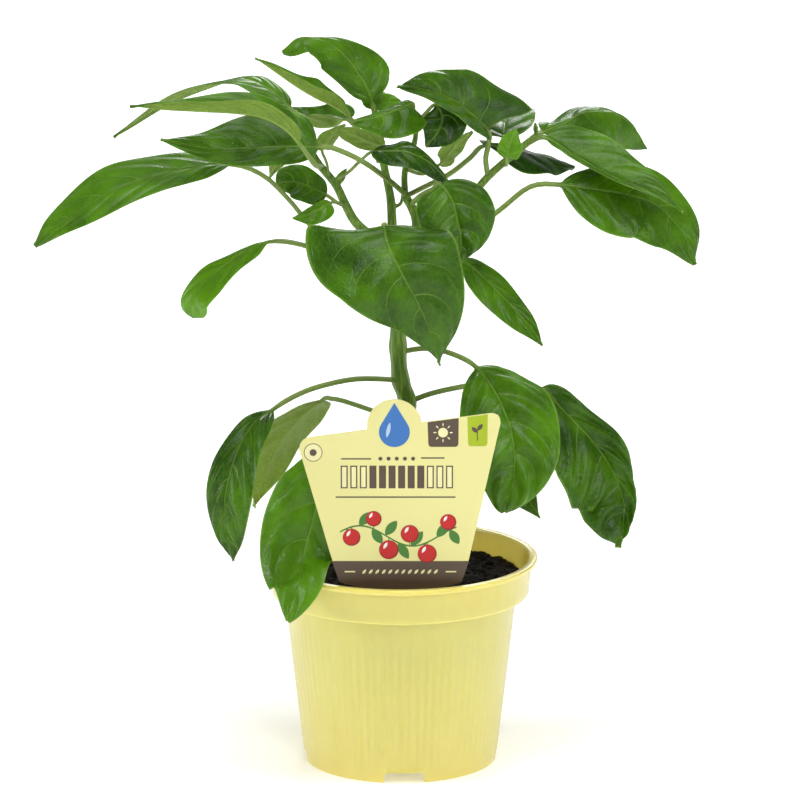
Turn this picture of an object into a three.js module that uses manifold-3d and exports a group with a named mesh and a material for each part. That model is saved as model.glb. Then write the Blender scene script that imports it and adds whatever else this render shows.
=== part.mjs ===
// A young chilli pepper plant in a 12 cm nursery pot, with its soil and a stick-in label.
// Millimetres, +Z up. The origin is on the pot's axis, where the pot stands.
// Seen from the front, +X is to the right and +Y goes away from the viewer.

import * as THREE from 'three';
import { mergeVertices } from 'three/addons/utils/BufferGeometryUtils.js';
import Module from 'manifold-3d';

const wasm = await Module();
wasm.setup();

// ---------- driving dimensions ----------

const gap = 0.3; // clearance between pieces that touch

const pot = {
  height: 91.6,
  lipRadius: 60, // outside of the rolled lip, 120 mm across
  lipHeight: 2.2,
  collarTop: 57.6, // outer radius of the collar under the lip
  collarFoot: 56.3, // outer radius of the collar at its lower edge
  collarHeight: 16.3,
  bodyTop: 51.0, // outer radius of the body under the collar
  bodyFoot: 42.3, // outer radius at the foot
  wall: 1.2,
  floorRise: 4.8, // the floor is raised over the foot ring by this much
  footRing: 2.2, // width of the foot ring
  padRadius: 8, // flat pad in the middle of the floor, level with the foot
  edge: 0.6, // bevel on the edges
  sides: 40,
  notchWidth: 17.5,
  notchDepth: 12, // how far a notch's cutter reaches through the wall
  notchHeight: 4.8,
  notches: 4,
  turn: 2.4, // degrees that the notches are turned from the front
  drainRadius: 3.5,
  drainCircle: 27, // distance of the drain holes from the axis
  drainSides: 8,
};

const soil = {
  top: 82, // level of the soil at the wall
  mound: 2.5, // how much higher it is at the stem
  crumble: 1.6, // height of its lumps
  rings: [0.12, 0.26, 0.42, 0.6, 0.78, 0.92], // where the lumps lie, as shares of the radius
  sides: 36,
};

const tag = {
  plane: -46, // distance of the label's middle plane in front of the pot's axis
  thickness: 0.8,
  top: 161.1, // height of the plate's top edge at the middle
  slope: 0.136, // the top edge climbs to the right by this much per mm
  left: -43.3,
  right: 42.8,
  bandTop: 101,
  bandFoot: 92,
  bandHalf: 29.2,
  footHalf: 26.2,
  lobeX: -2.6, // middle of the round lobe on the top edge
  lobeZ: 161,
  lobeRadius: 11.8,
  corner: 5,
  stakeHalf: 6, // half the stake's width
  stakeShoulder: 86, // height at which the stake starts under the plate
  stakeNeck: 72, // height at which the stake starts to narrow to its point
  stakeTip: 64, // height of the stake's point, inside the soil
};

const stem = {
  root: 48, // height of the cut root stub, inside the soil
  trunkFoot: 3.7, // radius of the trunk at the root and at the fork
  trunkTop: 3.3,
  trunkSides: 8,
  trunkSteps: 12,
  shootSides: 6,
  shootSteps: 6,
  budRows: 4,
  budSides: 6,
};

const blade = {
  thickness: 0.7,
  ribHeight: 0.9, // how much the midrib adds to the thickness
  ribSlope: 4, // how fast the midrib falls away to both sides
  across: 4, // facets across a blade
  along: 9, // facets along a blade
  stalkSteps: 5, // facets along a leaf stalk
  stalkRadius: 1.15, // usual radius of a leaf stalk
  stalkRun: 8, // the stalk thins to the blade over the last eighth of its length
  stalkFlat: 0.8, // how much the stalk's section is flattened
  tipRadius: 0.35, // half width of the tip, as a share of the stalk's radius
  opening: 6, // a blade opens out over the first sixth of its length
  widest: 0.38, // usual place of the greatest width, as a share of the length
  taper: 1.7, // how fast a blade narrows to its two ends
  lobe: 2, // usual reach of the foot of a blade behind the end of its stalk
  droop: 0.12, // how far the margins hang, as a share of the half width
  wave: 0.045, // height of the waves on the margins, as a share of the half width
  waveTurns: 15, // radians of wave along a blade
  waveShift: 2, // radians between the waves of the two halves
};

// ---------- helpers ----------

// A repeatable stand-in for chance, from 0 to 1.
function chance(seed) {
  const s = Math.sin(seed * 12.9898 + 4.1414) * 43758.5453;
  return s - Math.floor(s);
}

const point = ([x, y, z]) => new THREE.Vector3(x, y, z);
const curveThrough = (list) =>
  new THREE.CatmullRomCurve3(list.map(point), false, 'catmullrom', 0.5);

// A value given once for both halves of a leaf, or as [left, right].
const halfValue = (value, across) => [value].flat().at(across < 0 ? 0 : -1);

// A closed body through rings of points. Each ring has an even number of points: the first
// half lies on one face and the second half comes back under it on the other face.
function loft(rings) {
  const count = rings[0].length;
  const half = count / 2;
  const positions = rings.flat().flatMap((p) => [p.x, p.y, p.z]);
  const index = [];
  const at = (ring, k) => ring * count + (k % count);
  for (let i = 0; i + 1 < rings.length; i++) {
    for (let k = 0; k < count; k++) {
      const [a, b, c, d] = [at(i, k), at(i, k + 1), at(i + 1, k + 1), at(i + 1, k)];
      // both faces are split along the same diagonal, so a thin blade never crosses itself
      if (k < half) index.push(a, b, c, a, c, d);
      else index.push(a, b, d, b, c, d);
    }
  }
  const last = rings.length - 1;
  for (let k = 0; k + 1 < half; k++) {
    const [a, b, c, d] = [k, k + 1, count - 2 - k, count - 1 - k];
    index.push(at(0, a), at(0, c), at(0, b), at(0, a), at(0, d), at(0, c));
    index.push(at(last, a), at(last, b), at(last, c), at(last, a), at(last, c), at(last, d));
  }
  return outward(positions, index);
}

// Turns the faces round if the body is inside out.
function outward(positions, index) {
  let volume = 0;
  const [a, b, c] = [new THREE.Vector3(), new THREE.Vector3(), new THREE.Vector3()];
  for (let i = 0; i < index.length; i += 3) {
    a.fromArray(positions, index[i] * 3);
    b.fromArray(positions, index[i + 1] * 3);
    c.fromArray(positions, index[i + 2] * 3);
    volume += a.dot(b.cross(c));
  }
  if (volume < 0) index.reverse();
  const geometry = new THREE.BufferGeometry();
  geometry.setAttribute('position', new THREE.Float32BufferAttribute(positions, 3));
  geometry.setIndex(index);
  return geometry;
}

// A geometry as a solid that can be joined and cut, and back again.
function toSolid(geometry) {
  const bare = geometry.clone();
  bare.deleteAttribute('normal');
  bare.deleteAttribute('uv');
  const merged = mergeVertices(bare, 1e-4);
  const vertProperties = Float32Array.from(merged.attributes.position.array);
  const triVerts = Uint32Array.from(merged.index.array);
  return new wasm.Manifold(new wasm.Mesh({ numProp: 3, vertProperties, triVerts }));
}

function toGeometry(body) {
  const mesh = body.getMesh();
  const geometry = new THREE.BufferGeometry();
  geometry.setAttribute('position', new THREE.Float32BufferAttribute(mesh.vertProperties, 3));
  geometry.setIndex(Array.from(mesh.triVerts));
  return geometry;
}

// What is left of a leaf outside the stem: the largest piece, without the stub beyond it.
function clearOf(body, cutter) {
  const left = body.subtract(cutter).decompose();
  return left.reduce((best, piece) => (piece.volume() > best.volume() ? piece : best));
}

// A round tube along a list of points, thinning from one radius to the other.
function tube(list, startRadius, endRadius, sides, steps) {
  const curve = curveThrough(list);
  const { normals, binormals } = curve.computeFrenetFrames(steps, false);
  const rings = [];
  for (let i = 0; i <= steps; i++) {
    const middle = curve.getPointAt(i / steps);
    const radius = THREE.MathUtils.lerp(startRadius, endRadius, i / steps);
    const ring = [];
    for (let k = 0; k < sides; k++) {
      const angle = ((k + 0.5) / sides) * Math.PI * 2;
      const side = normals[i].clone().multiplyScalar(Math.cos(angle) * radius);
      ring.push(middle.clone().add(side).addScaledVector(binormals[i], Math.sin(angle) * radius));
    }
    rings.push(ring);
  }
  return toSolid(loft(rings));
}

// A small bud: a pointed egg with its foot at a place on the stem.
function bud(place, direction, length, radius) {
  const rows = stem.budRows;
  const belly = 0.7; // below 1 the egg is fuller near its foot
  const profile = [];
  for (let i = 0; i <= rows; i++) {
    const t = i / rows;
    profile.push(new THREE.Vector2(radius * Math.sin(Math.PI * t ** belly), length * t));
  }
  profile[0].x = 0;
  profile[rows].x = 0;
  const geometry = new THREE.LatheGeometry(profile, stem.budSides);
  const upright = new THREE.Vector3(0, 1, 0);
  const turn = new THREE.Quaternion();
  turn.setFromUnitVectors(upright, point(direction).normalize());
  geometry.applyQuaternion(turn);
  geometry.translate(...place);
  return toSolid(geometry);
}

// ---------- pot ----------

function potGeometry() {
  const { height, wall, edge, floorRise, padRadius, footRing } = pot;
  const { bodyTop, bodyFoot, collarFoot, collarTop, lipRadius, lipHeight } = pot;
  const step = height - pot.collarHeight; // where the collar starts
  const floorTop = floorRise + wall;
  const profile = [
    [0, 0], [padRadius, 0], [padRadius + 1, floorRise],
    [bodyFoot - footRing - edge, floorRise], [bodyFoot - footRing, 0], [bodyFoot - edge, 0],
    [bodyFoot, edge], [bodyTop, step], [collarFoot, step],
    [collarTop, height - lipHeight - edge], [lipRadius, height - lipHeight],
    [lipRadius, height - edge], [lipRadius - edge, height], [collarTop - wall, height],
    [collarFoot - wall, step + wall], [bodyTop - wall, step - wall],
    [bodyFoot - wall, floorTop], [0, floorTop],
  ].map(([r, z]) => new THREE.Vector2(r, z));
  let body = toSolid(new THREE.LatheGeometry(profile, pot.sides).rotateX(Math.PI / 2));

  for (let i = 0; i < pot.notches; i++) {
    const turn = THREE.MathUtils.degToRad(pot.turn + (i * 360) / pot.notches);
    const notch = new THREE.BoxGeometry(pot.notchWidth, pot.notchDepth, pot.notchHeight * 2);
    notch.translate(0, -bodyFoot, 0).rotateZ(turn);
    const drain = new THREE.CylinderGeometry(
      pot.drainRadius, pot.drainRadius, wall * 4, pot.drainSides,
    );
    drain.rotateX(Math.PI / 2).translate(pot.drainCircle, 0, floorTop).rotateZ(turn);
    body = body.subtract(toSolid(notch)).subtract(toSolid(drain));
  }
  return toGeometry(body);
}

// ---------- stem ----------

// Each shoot: its points from foot to tip and its radius at both ends.
const trunk = [
  [0, 0, stem.root], [1, 0, 87], [2, 0, 116], [3, 1, 143], [3, 1, 160],
  [0, 0, 171], [-1, 0, 188], [0, 0, 206], [0, 0, 224],
];
const shoots = [
  {
    points: [[0, 0, 221], [-9, 5, 230], [-19, 9, 238], [-24, 12, 246], [-28, 14, 254], [-35, 17, 262]],
    foot: 2.3, tip: 1.7,
  },
  { points: [[-34, 17, 261], [-38, 19, 267], [-41, 22, 273]], foot: 1.4, tip: 1.2 },
  {
    points: [
      [0, 0, 221], [-3, 6, 231], [-4, 9, 246], [-5, 10, 253], [-8, 14, 266], [-10, 15, 272],
      [-11, 15, 277],
    ],
    foot: 2.3, tip: 1.3,
  },
  { points: [[0, 0, 221], [5, -4, 232], [7, -6, 241], [5, -6, 248], [2, -6, 253]], foot: 2.4, tip: 1.9 },
  { points: [[2, -6, 252], [2, -2, 264], [6, 2, 275], [7, 4, 284]], foot: 1.5, tip: 1.1 },
  {
    points: [
      [0, 0, 221], [8, 4, 230], [17, 8, 238], [27, 12, 245], [38, 17, 257], [51, 20, 268],
      [60, 22, 275],
    ],
    foot: 2.1, tip: 1.5,
  },
  { points: [[-4, 9, 245], [0, 8, 247], [1, 7, 252]], foot: 0.9, tip: 0.6 },
];
const buds = [
  { place: [3, 1, 160], toward: [0.9, -0.4, 1], length: 6, radius: 1.6 },
  { place: [0, 0, 170], toward: [-0.9, -0.4, 1], length: 6, radius: 1.6 },
  { place: [-28, 14, 254], toward: [0.6, -0.3, 1], length: 10, radius: 2.0 },
  { place: [59, 22, 275], toward: [-0.1, -0.1, 1], length: 6, radius: 1.2 },
];

// The stem as one body, with its radius grown by the margin.
function stemBody(margin) {
  const { trunkFoot, trunkTop, trunkSides, trunkSteps, shootSides, shootSteps } = stem;
  let body = tube(trunk, trunkFoot + margin, trunkTop + margin, trunkSides, trunkSteps);
  for (const { points, foot, tip } of shoots) {
    body = body.add(tube(points, foot + margin, tip + margin, shootSides, shootSteps));
  }
  for (const { place, toward, length, radius } of buds) {
    body = body.add(bud(place, toward, length + margin, radius + margin));
  }
  return body;
}

// ---------- leaves ----------

// Each leaf: the points of its stalk from the stem, the points of its midrib from the foot of
// the blade to the tip, half its greatest width, which way its upper side faces at the foot
// and at the tip, and how far its halves fold up (degrees). Lobe, widest, taper and stalk
// radius are given where they aren't the usual ones. A pair holds the values of the left and
// the right half, seen on the upper side from foot to tip.
const leaves = {
  leaf_left_long: {
    stalk: [[-1, 2, 192], [-20, 5, 217], [-38, 0, 238], [-48, -7, 252], [-59, -14, 264]],
    rib: [[-73, -20, 270], [-94, -28, 269], [-119, -36, 263], [-141, -42, 251], [-156, -44, 240]],
    half: [13, 19], foot: [0, -0.3, 1], end: [-0.3, -0.5, 0.9], fold: 6, widest: 0.45,
  },
  leaf_left_back: {
    stalk: [[-41, 22, 272], [-45, 26, 280]],
    rib: [
      [-48, 30, 285], [-52, 36, 288], [-59, 43, 292], [-68, 50, 294], [-82, 56, 291],
      [-102, 61, 283], [-127, 64, 266],
    ],
    half: [9, 8], foot: [0, -0.4, 1], end: [-0.6, 0.6, 0.6], fold: 4, widest: [0.5, 0.55],
    taper: [1.4, 1.8],
  },
  leaf_left_folded: {
    stalk: [[-34, 17, 262], [-35, -5, 266], [-37, -33, 273]],
    rib: [
      [-43, -38, 283], [-49, -42, 290], [-58, -44, 295], [-69, -45, 297], [-85, -46, 298],
      [-101, -47, 299], [-114, -49, 301],
    ],
    half: [10, 11], foot: [0, 0.08, 1], end: [0, 0, 1], fold: [50, 60], lobe: [2, 10],
    widest: [0.45, 0.4],
  },
  leaf_left_front: {
    stalk: [[2, -6, 254], [-5, -10, 261], [-17, -17, 271], [-29, -25, 278]],
    rib: [[-35, -28, 279], [-49, -32, 280], [-65, -36, 280], [-83, -41, 281], [-101, -46, 286]],
    half: [9, 18], foot: [0, -0.8, 0.6], end: [0, -0.8, 0.6], fold: [4, 4], lobe: [2, 4],
    widest: [0.38, 0.3],
  },
  leaf_left_hidden: {
    stalk: [[-36, 18, 263]],
    rib: [[-39, 24, 266], [-46, 30, 265], [-53, 36, 261], [-58, 38, 252]],
    half: 10, foot: [0, 0.4, 0.9], end: [-0.6, 0.4, 0.7], fold: 5,
  },
  leaf_top_narrow: {
    stalk: [[-9, 14, 268], [-16, 12, 275]],
    rib: [[-21, 12, 284], [-29, 10, 290], [-36, 6, 294], [-45, 2, 300], [-62, -8, 314]],
    half: [7, 10], foot: [0.3, 0.1, 1], end: [0.3, 0.1, 1], fold: 55, widest: 0.5,
  },
  leaf_top: {
    stalk: [[-11, 15, 276], [-11, 16, 281]],
    rib: [
      [-12, 13, 290], [-15, 14, 298], [-21, 16, 307], [-31, 16, 316], [-43, 12, 319],
      [-51, 8, 314],
    ],
    half: [12, 14], foot: [0.1, -0.85, 0.45], end: [-0.2, -0.4, 0.9], fold: [0, -6], lobe: [2, 2],
    widest: [0.62, 0.3], taper: [1.2, 5.5],
  },
  leaf_back_left: {
    stalk: [[-8, 14, 265], [-14, 19, 272]],
    rib: [[-23, 25, 281], [-29, 32, 277], [-37, 40, 275], [-44, 46, 278], [-49, 50, 282]],
    half: [9, 14], foot: [0, 0, 1], end: [0, 0, 1], fold: 50,
  },
  leaf_small_pale: {
    stalk: [[-31, 14, 258], [-32, 13, 264]],
    rib: [[-34, 11, 270], [-32, 11, 274], [-29, 10, 278], [-24, 9, 282]],
    half: 6, foot: [-0.4, 0.6, 0.6], end: [-0.4, 0.6, 0.6], fold: 10, stalkRadius: 0.6,
  },
  leaf_middle_grey: {
    stalk: [[6, 3, 280], [5, 2, 286]],
    rib: [[5, 3, 292], [0, -2, 291], [-7, -7, 289], [-14, -12, 288], [-20, -15, 288]],
    half: [14, 4], foot: [0.1, -0.8, 0.6], end: [-0.1, -0.8, 0.6], fold: [6, -20], lobe: [4, 4],
    widest: [0.35, 0.4], taper: [1.7, 1.7],
  },
  leaf_middle_under: {
    stalk: [[-8, 12, 265], [-10, 8, 266]],
    rib: [[-8, 4, 273], [-13, 0, 276], [-18, -4, 279], [-24, -7, 282], [-27, -9, 284]],
    half: [5, 6], foot: [0.1, 0.7, 0.3], end: [0.1, 0.7, 0.3], fold: 5, stalkRadius: 0.7,
  },
  leaf_middle_bright: {
    stalk: [[-9, 15, 270], [-8, 21, 277]],
    rib: [[-11, 20, 286], [-7, 24, 288], [-3, 28, 288], [2, 31, 287]],
    half: [9, 7], foot: [0.1, -0.8, 0.6], end: [0.1, -0.8, 0.6], fold: 5, widest: [0.25, 0.4],
  },
  leaf_middle_dark: {
    stalk: [[-28, 14, 256], [-22, 5, 262], [-17, -6, 269]],
    rib: [
      [-12, -12, 274], [-5, -16, 275], [2, -18, 275], [11, -17, 271], [17, -14, 265],
      [23, -11, 258],
    ],
    half: 8.5, foot: [0.1, -0.5, 0.85], end: [0.4, -0.5, 0.75], fold: -4, stalkRadius: 0.8,
  },
  leaf_right_broad: {
    stalk: [[38, 17, 257], [37, 16, 265], [38, 16, 271]],
    rib: [[38, 15, 278], [30, 8, 287], [23, 0, 294], [11, -8, 300], [-1, -14, 303]],
    half: [6, 22], foot: [0.35, -0.8, 0.5], end: [0, -0.57, 0.82], fold: [-10, 20], lobe: [20, 48],
    widest: [0.5, 0.25],
  },
  leaf_back_middle: {
    stalk: [[46, 19, 264], [46, 22, 270]],
    rib: [[45, 26, 273], [46, 42, 277], [49, 60, 279], [52, 80, 276]],
    half: 13, foot: [0, -0.1, 1], end: [0, 0.2, 1], fold: 10,
  },
  leaf_middle_drooping: {
    stalk: [[7, 4, 283], [11, 8, 287]],
    rib: [[15, 10, 290], [18, 8, 285], [16, 4, 279], [11, 0, 274]],
    half: 11, foot: [0.1, -0.9, 0.4], end: [0.1, -0.9, 0.4], fold: 5, stalkRadius: 0.8,
  },
  leaf_middle_pale: {
    stalk: [[3, -3, 264], [10, 4, 261]],
    rib: [[17, 11, 264], [21, 13, 269], [25, 14, 273], [31, 14, 278]],
    half: 8, foot: [-0.4, 0.6, 0.6], end: [-0.4, 0.6, 0.6], fold: 5, stalkRadius: 0.8,
  },
  leaf_young_bright: {
    stalk: [[45, 18, 262], [46, 9, 264]],
    rib: [[46, 4, 268], [47, 2, 272], [48, 0, 277], [50, -1, 282]],
    half: 5.5, foot: [0.1, -0.8, 0.5], end: [0.1, -0.8, 0.5], fold: 12, stalkRadius: 0.7,
  },
  leaf_right_dark: {
    stalk: [[2, -6, 253], [9, -3, 256], [21, 8, 260], [30, 18, 265]],
    rib: [[37, 28, 269], [51, 38, 265], [64, 48, 260], [77, 56, 254]],
    half: 15, foot: [0, -0.3, 0.95], end: [0, -0.3, 0.95], fold: -10,
  },
  leaf_right_upper: {
    stalk: [[59, 22, 275]],
    rib: [
      [62, 27, 275], [72, 34, 278], [81, 42, 281], [93, 50, 279], [102, 56, 272],
      [109, 60, 261],
    ],
    half: [10, 20], foot: [0.1, -0.7, 0.7], end: [0.4, -0.7, 0.5], fold: [-45, 0],
    widest: [0.3, 0.5],
  },
  leaf_right_middle: {
    stalk: [[55, 21, 271]],
    rib: [[63, 14, 275], [76, 8, 268], [91, 0, 261], [107, -8, 256], [121, -16, 249]],
    half: [16, 7], foot: [0.1, -0.8, 0.55], end: [0.3, -0.8, 0.5], fold: [4, 50],
    widest: [0.34, 0.5], taper: [1.9, 1.7],
  },
  leaf_right_long: {
    stalk: [[1, 1, 214], [21, 3, 229], [42, 5, 244], [56, 5, 255]],
    rib: [
      [69, 5, 256], [82, 5, 254], [96, 4, 252], [110, 2, 248], [121, -1, 237], [128, -5, 223],
    ],
    half: [17, 22], foot: [0, -0.75, 0.65], end: [0.6, -0.6, 0.5], fold: [4, 6],
    widest: [0.5, 0.52],
  },
  leaf_front_round: {
    stalk: [[4, -6, 249], [9, -13, 255], [14, -20, 259]],
    rib: [[17, -24, 262], [22, -29, 256], [25, -32, 245], [26, -34, 238], [25, -34, 230]],
    half: 17, foot: [0.1, -0.8, 0.5], end: [0.05, -0.9, 0.4], fold: 8, lobe: [-5, 6],
  },
  leaf_left_glossy: {
    stalk: [[-23, 12, 245], [-27, 9, 247]],
    rib: [[-32, 7, 251], [-37, 5, 254], [-43, 3, 257], [-49, 2, 258], [-53, 1, 257]],
    half: [9, 8.5], foot: [-0.1, -0.75, 0.6], end: [-0.1, -0.75, 0.6], fold: 12, widest: 0.5,
    taper: 1.1, stalkRadius: 0.8,
  },
  leaf_left_pale: {
    stalk: [[-21, 10, 241], [-25, 4, 247]],
    rib: [[-30, -4, 250], [-35, -9, 248], [-41, -13, 246], [-46, -17, 246]],
    half: [6, 3], foot: [0.1, -0.8, 0.55], end: [0.1, -0.8, 0.55], fold: 5, stalkRadius: 0.6,
  },
  leaf_left_small: {
    stalk: [[-1, -1, 206], [-22, -6, 223], [-41, -9, 232]],
    rib: [
      [-56, -14, 235], [-66, -21, 232], [-75, -26, 227], [-83, -29, 221], [-89, -31, 213],
      [-89, -31, 205],
    ],
    half: [12, 8], foot: [-0.2, -0.4, 0.9], end: [-0.6, -0.5, 0.4], fold: 8, widest: [0.72, 0.7],
    taper: [1.2, 1.4],
  },
  leaf_front_big: {
    stalk: [[0, -1, 225], [-2, -18, 238], [-6, -30, 245]],
    rib: [[-7, -40, 247], [-5, -49, 240], [1, -56, 229], [10, -55, 211], [17, -49, 188]],
    half: [27, 34], foot: [-0.1, -0.85, 0.5], end: [0.1, -0.95, 0.2], fold: 6, lobe: [3, 26],
    widest: [0.45, 0.27],
  },
  leaf_right_low: {
    stalk: [[1, 1, 206], [13, 8, 214]],
    rib: [[26, 13, 220], [36, 14, 213], [46, 12, 203], [55, 8, 194], [62, 4, 185]],
    half: [7, 10], foot: [0.2, -0.7, 0.65], end: [0.4, -0.7, 0.5], fold: 8, widest: 0.42,
  },
  leaf_low_left: {
    stalk: [[0, 0, 170], [-8, -5, 172], [-21, -10, 173], [-36, -16, 171], [-46, -21, 168]],
    rib: [
      [-55, -28, 164], [-64, -38, 159], [-71, -48, 147], [-75, -53, 131], [-75, -53, 116],
      [-72, -50, 102],
    ],
    half: [15, 10], foot: [-0.4, -0.6, 0.7], end: [-0.5, -0.8, 0.1], fold: 12, widest: 0.5,
  },
  leaf_low_left_back: {
    stalk: [[2, 1, 149], [-6, 5, 153], [-22, 13, 157], [-30, 17, 158]],
    rib: [[-35, 22, 156], [-49, 36, 140], [-59, 46, 120], [-66, 50, 101]],
    half: 16, foot: [-0.4, 0.6, 0.6], end: [-0.6, 0.7, 0.2], fold: 8,
  },
  leaf_low_front: {
    stalk: [[2, -1, 138], [-7, -12, 145], [-17, -22, 150]],
    rib: [
      [-30, -32, 146], [-34, -34, 132], [-38, -35, 116], [-42, -38, 101], [-44, -52, 92],
      [-49, -58, 78],
    ],
    half: [15, 22], foot: [-0.05, -0.95, 0.3], end: [-0.45, -0.85, 0.2], fold: 4,
    widest: [0.54, 0.45],
  },
  leaf_low_right: {
    stalk: [[0, 0, 183], [11, 2, 184], [22, 1, 182]],
    rib: [[33, -4, 177], [42, -17, 167], [48, -27, 153], [49, -33, 137], [45, -35, 120]],
    half: [22, 23], foot: [0.1, -0.6, 0.8], end: [0.1, -1, 0.1], fold: 8, lobe: 4,
    widest: [0.46, 0.52],
  },
  leaf_low_right_back: {
    stalk: [[3, 1, 160], [13, 5, 163], [27, 10, 165], [44, 15, 166]],
    rib: [
      [62, 18, 162], [72, 21, 151], [84, 22, 138], [93, 20, 125], [98, 17, 112], [98, 13, 102],
      [97, 10, 92],
    ],
    half: [12, 27], foot: [0.3, -0.7, 0.6], end: [0.4, -0.8, 0.2], fold: 8, widest: [0.35, 0.5],
    taper: [1.7, 1.2],
  },
  leaf_low_right_hidden: {
    stalk: [[2, 2, 143], [13, 10, 145], [24, 16, 144]],
    rib: [[34, 22, 138], [44, 28, 126], [54, 32, 112], [62, 32, 100]],
    half: 10, foot: [0.4, -0.6, 0.7], end: [0.5, -0.8, 0.3], fold: 8,
  },
};

const clamp = THREE.MathUtils.clamp;
const lerp = THREE.MathUtils.lerp;

// The width of a blade along its midrib, as a share of the greatest: rounder at the foot
// the nearer the widest place is to it, and drawn out to a point.
function outline(u, widest, taper) {
  const shape = (w) => w ** (widest * taper) * (1 - w) ** ((1 - widest) * taper);
  return shape(clamp(u, 0, 1)) / shape(widest);
}

// The shape of one leaf: a function from (along, across) to a point on its middle surface.
// Along runs from -1 at the stem over 0 at the foot of the blade to 1 at the tip, and across
// from -1 at the left margin to 1 at the right one.
function leafSurface(leaf) {
  const curve = curveThrough([...leaf.stalk, ...leaf.rib]);
  const start = leaf.stalk.length / (leaf.stalk.length + leaf.rib.length - 1);
  const { stalkRadius, taper, foot, end } = leaf;

  return (along, across) => {
    const u = clamp(along, 0, 1);
    const t = clamp(along < 0 ? start * (1 + along) : lerp(start, 1, along), 0, 1);
    const middle = curve.getPoint(t);
    const ahead = curve.getTangent(t);
    const up = point(foot).normalize().lerp(point(end).normalize(), u);
    up.addScaledVector(ahead, -up.dot(ahead)).normalize();
    const side = ahead.clone().cross(up);
    const lift = THREE.MathUtils.degToRad(halfValue(leaf.fold, across));
    const share = halfValue(leaf.half, across);
    const spread = share * outline(u, halfValue(leaf.widest, across), halfValue(taper, across));
    const reach = Math.max(stalkRadius * lerp(1, blade.tipRadius, u), spread) * Math.abs(across);
    const open = along > 0 ? Math.min(1, u * blade.opening) : 0;
    const edge = across ** 2 * open; // 1 along the margin, 0 on the midrib
    const ripple = Math.sin(u * blade.waveTurns + (across > 0 ? 0 : blade.waveShift));
    middle.addScaledVector(side, Math.sign(across) * reach * Math.cos(lift * open));
    middle.addScaledVector(up, reach * Math.sin(lift * open));
    middle.addScaledVector(up, share * edge * (blade.wave * ripple - blade.droop));
    middle.addScaledVector(ahead, -halfValue(leaf.lobe, across) * edge * (1 - u) ** 3);
    return middle;
  };
}

// Half the thickness of a leaf: a flattened stalk that runs into a thin blade with a midrib.
function halfThickness(leaf, along, across) {
  const round = leaf.stalkRadius * Math.sqrt(1 - blade.stalkFlat * across ** 2);
  const rib = blade.ribHeight * Math.exp(-((across * blade.ribSlope) ** 2));
  const flat = (blade.thickness + rib * (1 - clamp(along, 0, 1))) / 2;
  return lerp(round, flat, clamp(along * blade.stalkRun + 1, 0, 1));
}

function leafGeometry(leaf) {
  const surface = leafSurface(leaf);
  const stations = [];
  for (let i = 0; i < blade.stalkSteps; i++) stations.push(-1 + i / blade.stalkSteps);
  for (let i = 0; i <= blade.along; i++) stations.push(i / blade.along);
  const rings = stations.map((along) => {
    const upper = [];
    const lower = [];
    for (let k = 0; k <= blade.across; k++) {
      const across = (k / blade.across) * 2 - 1;
      const [du, dv] = [0.02, 0.1]; // small steps, for the surface's slope
      const middle = surface(along, across);
      const fore = surface(along + du, across).sub(surface(along - du, across));
      const over = surface(along, across + dv).sub(surface(along, across - dv));
      const normal = over.cross(fore).normalize();
      const half = halfThickness(leaf, along, across);
      upper.push(middle.clone().addScaledVector(normal, half));
      lower.unshift(middle.clone().addScaledVector(normal, -half));
    }
    return [...upper, ...lower];
  });
  return loft(rings);
}

// ---------- soil ----------

function soilGeometry(stemHole, stakeHole) {
  const { height, collarHeight, wall, bodyTop, bodyFoot, collarFoot, floorRise } = pot;
  const step = height - collarHeight;
  const floor = floorRise + wall + gap;
  const wide = collarFoot - wall - gap;
  const profile = [
    [0, floor], [bodyFoot - wall - gap, floor], [bodyTop - wall - gap, step - wall - gap],
    [wide, step + wall + gap], [wide, soil.top],
    ...soil.rings.map((share) => [wide * share, soil.top]).reverse(), [0, soil.top],
  ].map(([r, z]) => new THREE.Vector2(r, z));
  const ground = new THREE.LatheGeometry(profile, soil.sides).rotateX(Math.PI / 2);
  const place = ground.attributes.position;
  for (let i = 0; i < place.count; i++) {
    const radius = Math.hypot(place.getX(i), place.getY(i));
    if (place.getZ(i) < soil.top - gap) continue;
    const angle = Math.atan2(place.getY(i), place.getX(i)) / (2 * Math.PI);
    const spoke = Math.round(angle * soil.sides + soil.sides) % soil.sides;
    const middle = radius < 1;
    const lump = middle ? 0.5 : chance(spoke + soil.sides * Math.round(radius));
    const rise = soil.mound * (1 - radius / wide) + soil.crumble * (lump - 0.5);
    place.setZ(i, soil.top + rise);
  }
  return toGeometry(toSolid(ground).subtract(stemHole).subtract(stakeHole));
}

// ---------- label ----------

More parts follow.
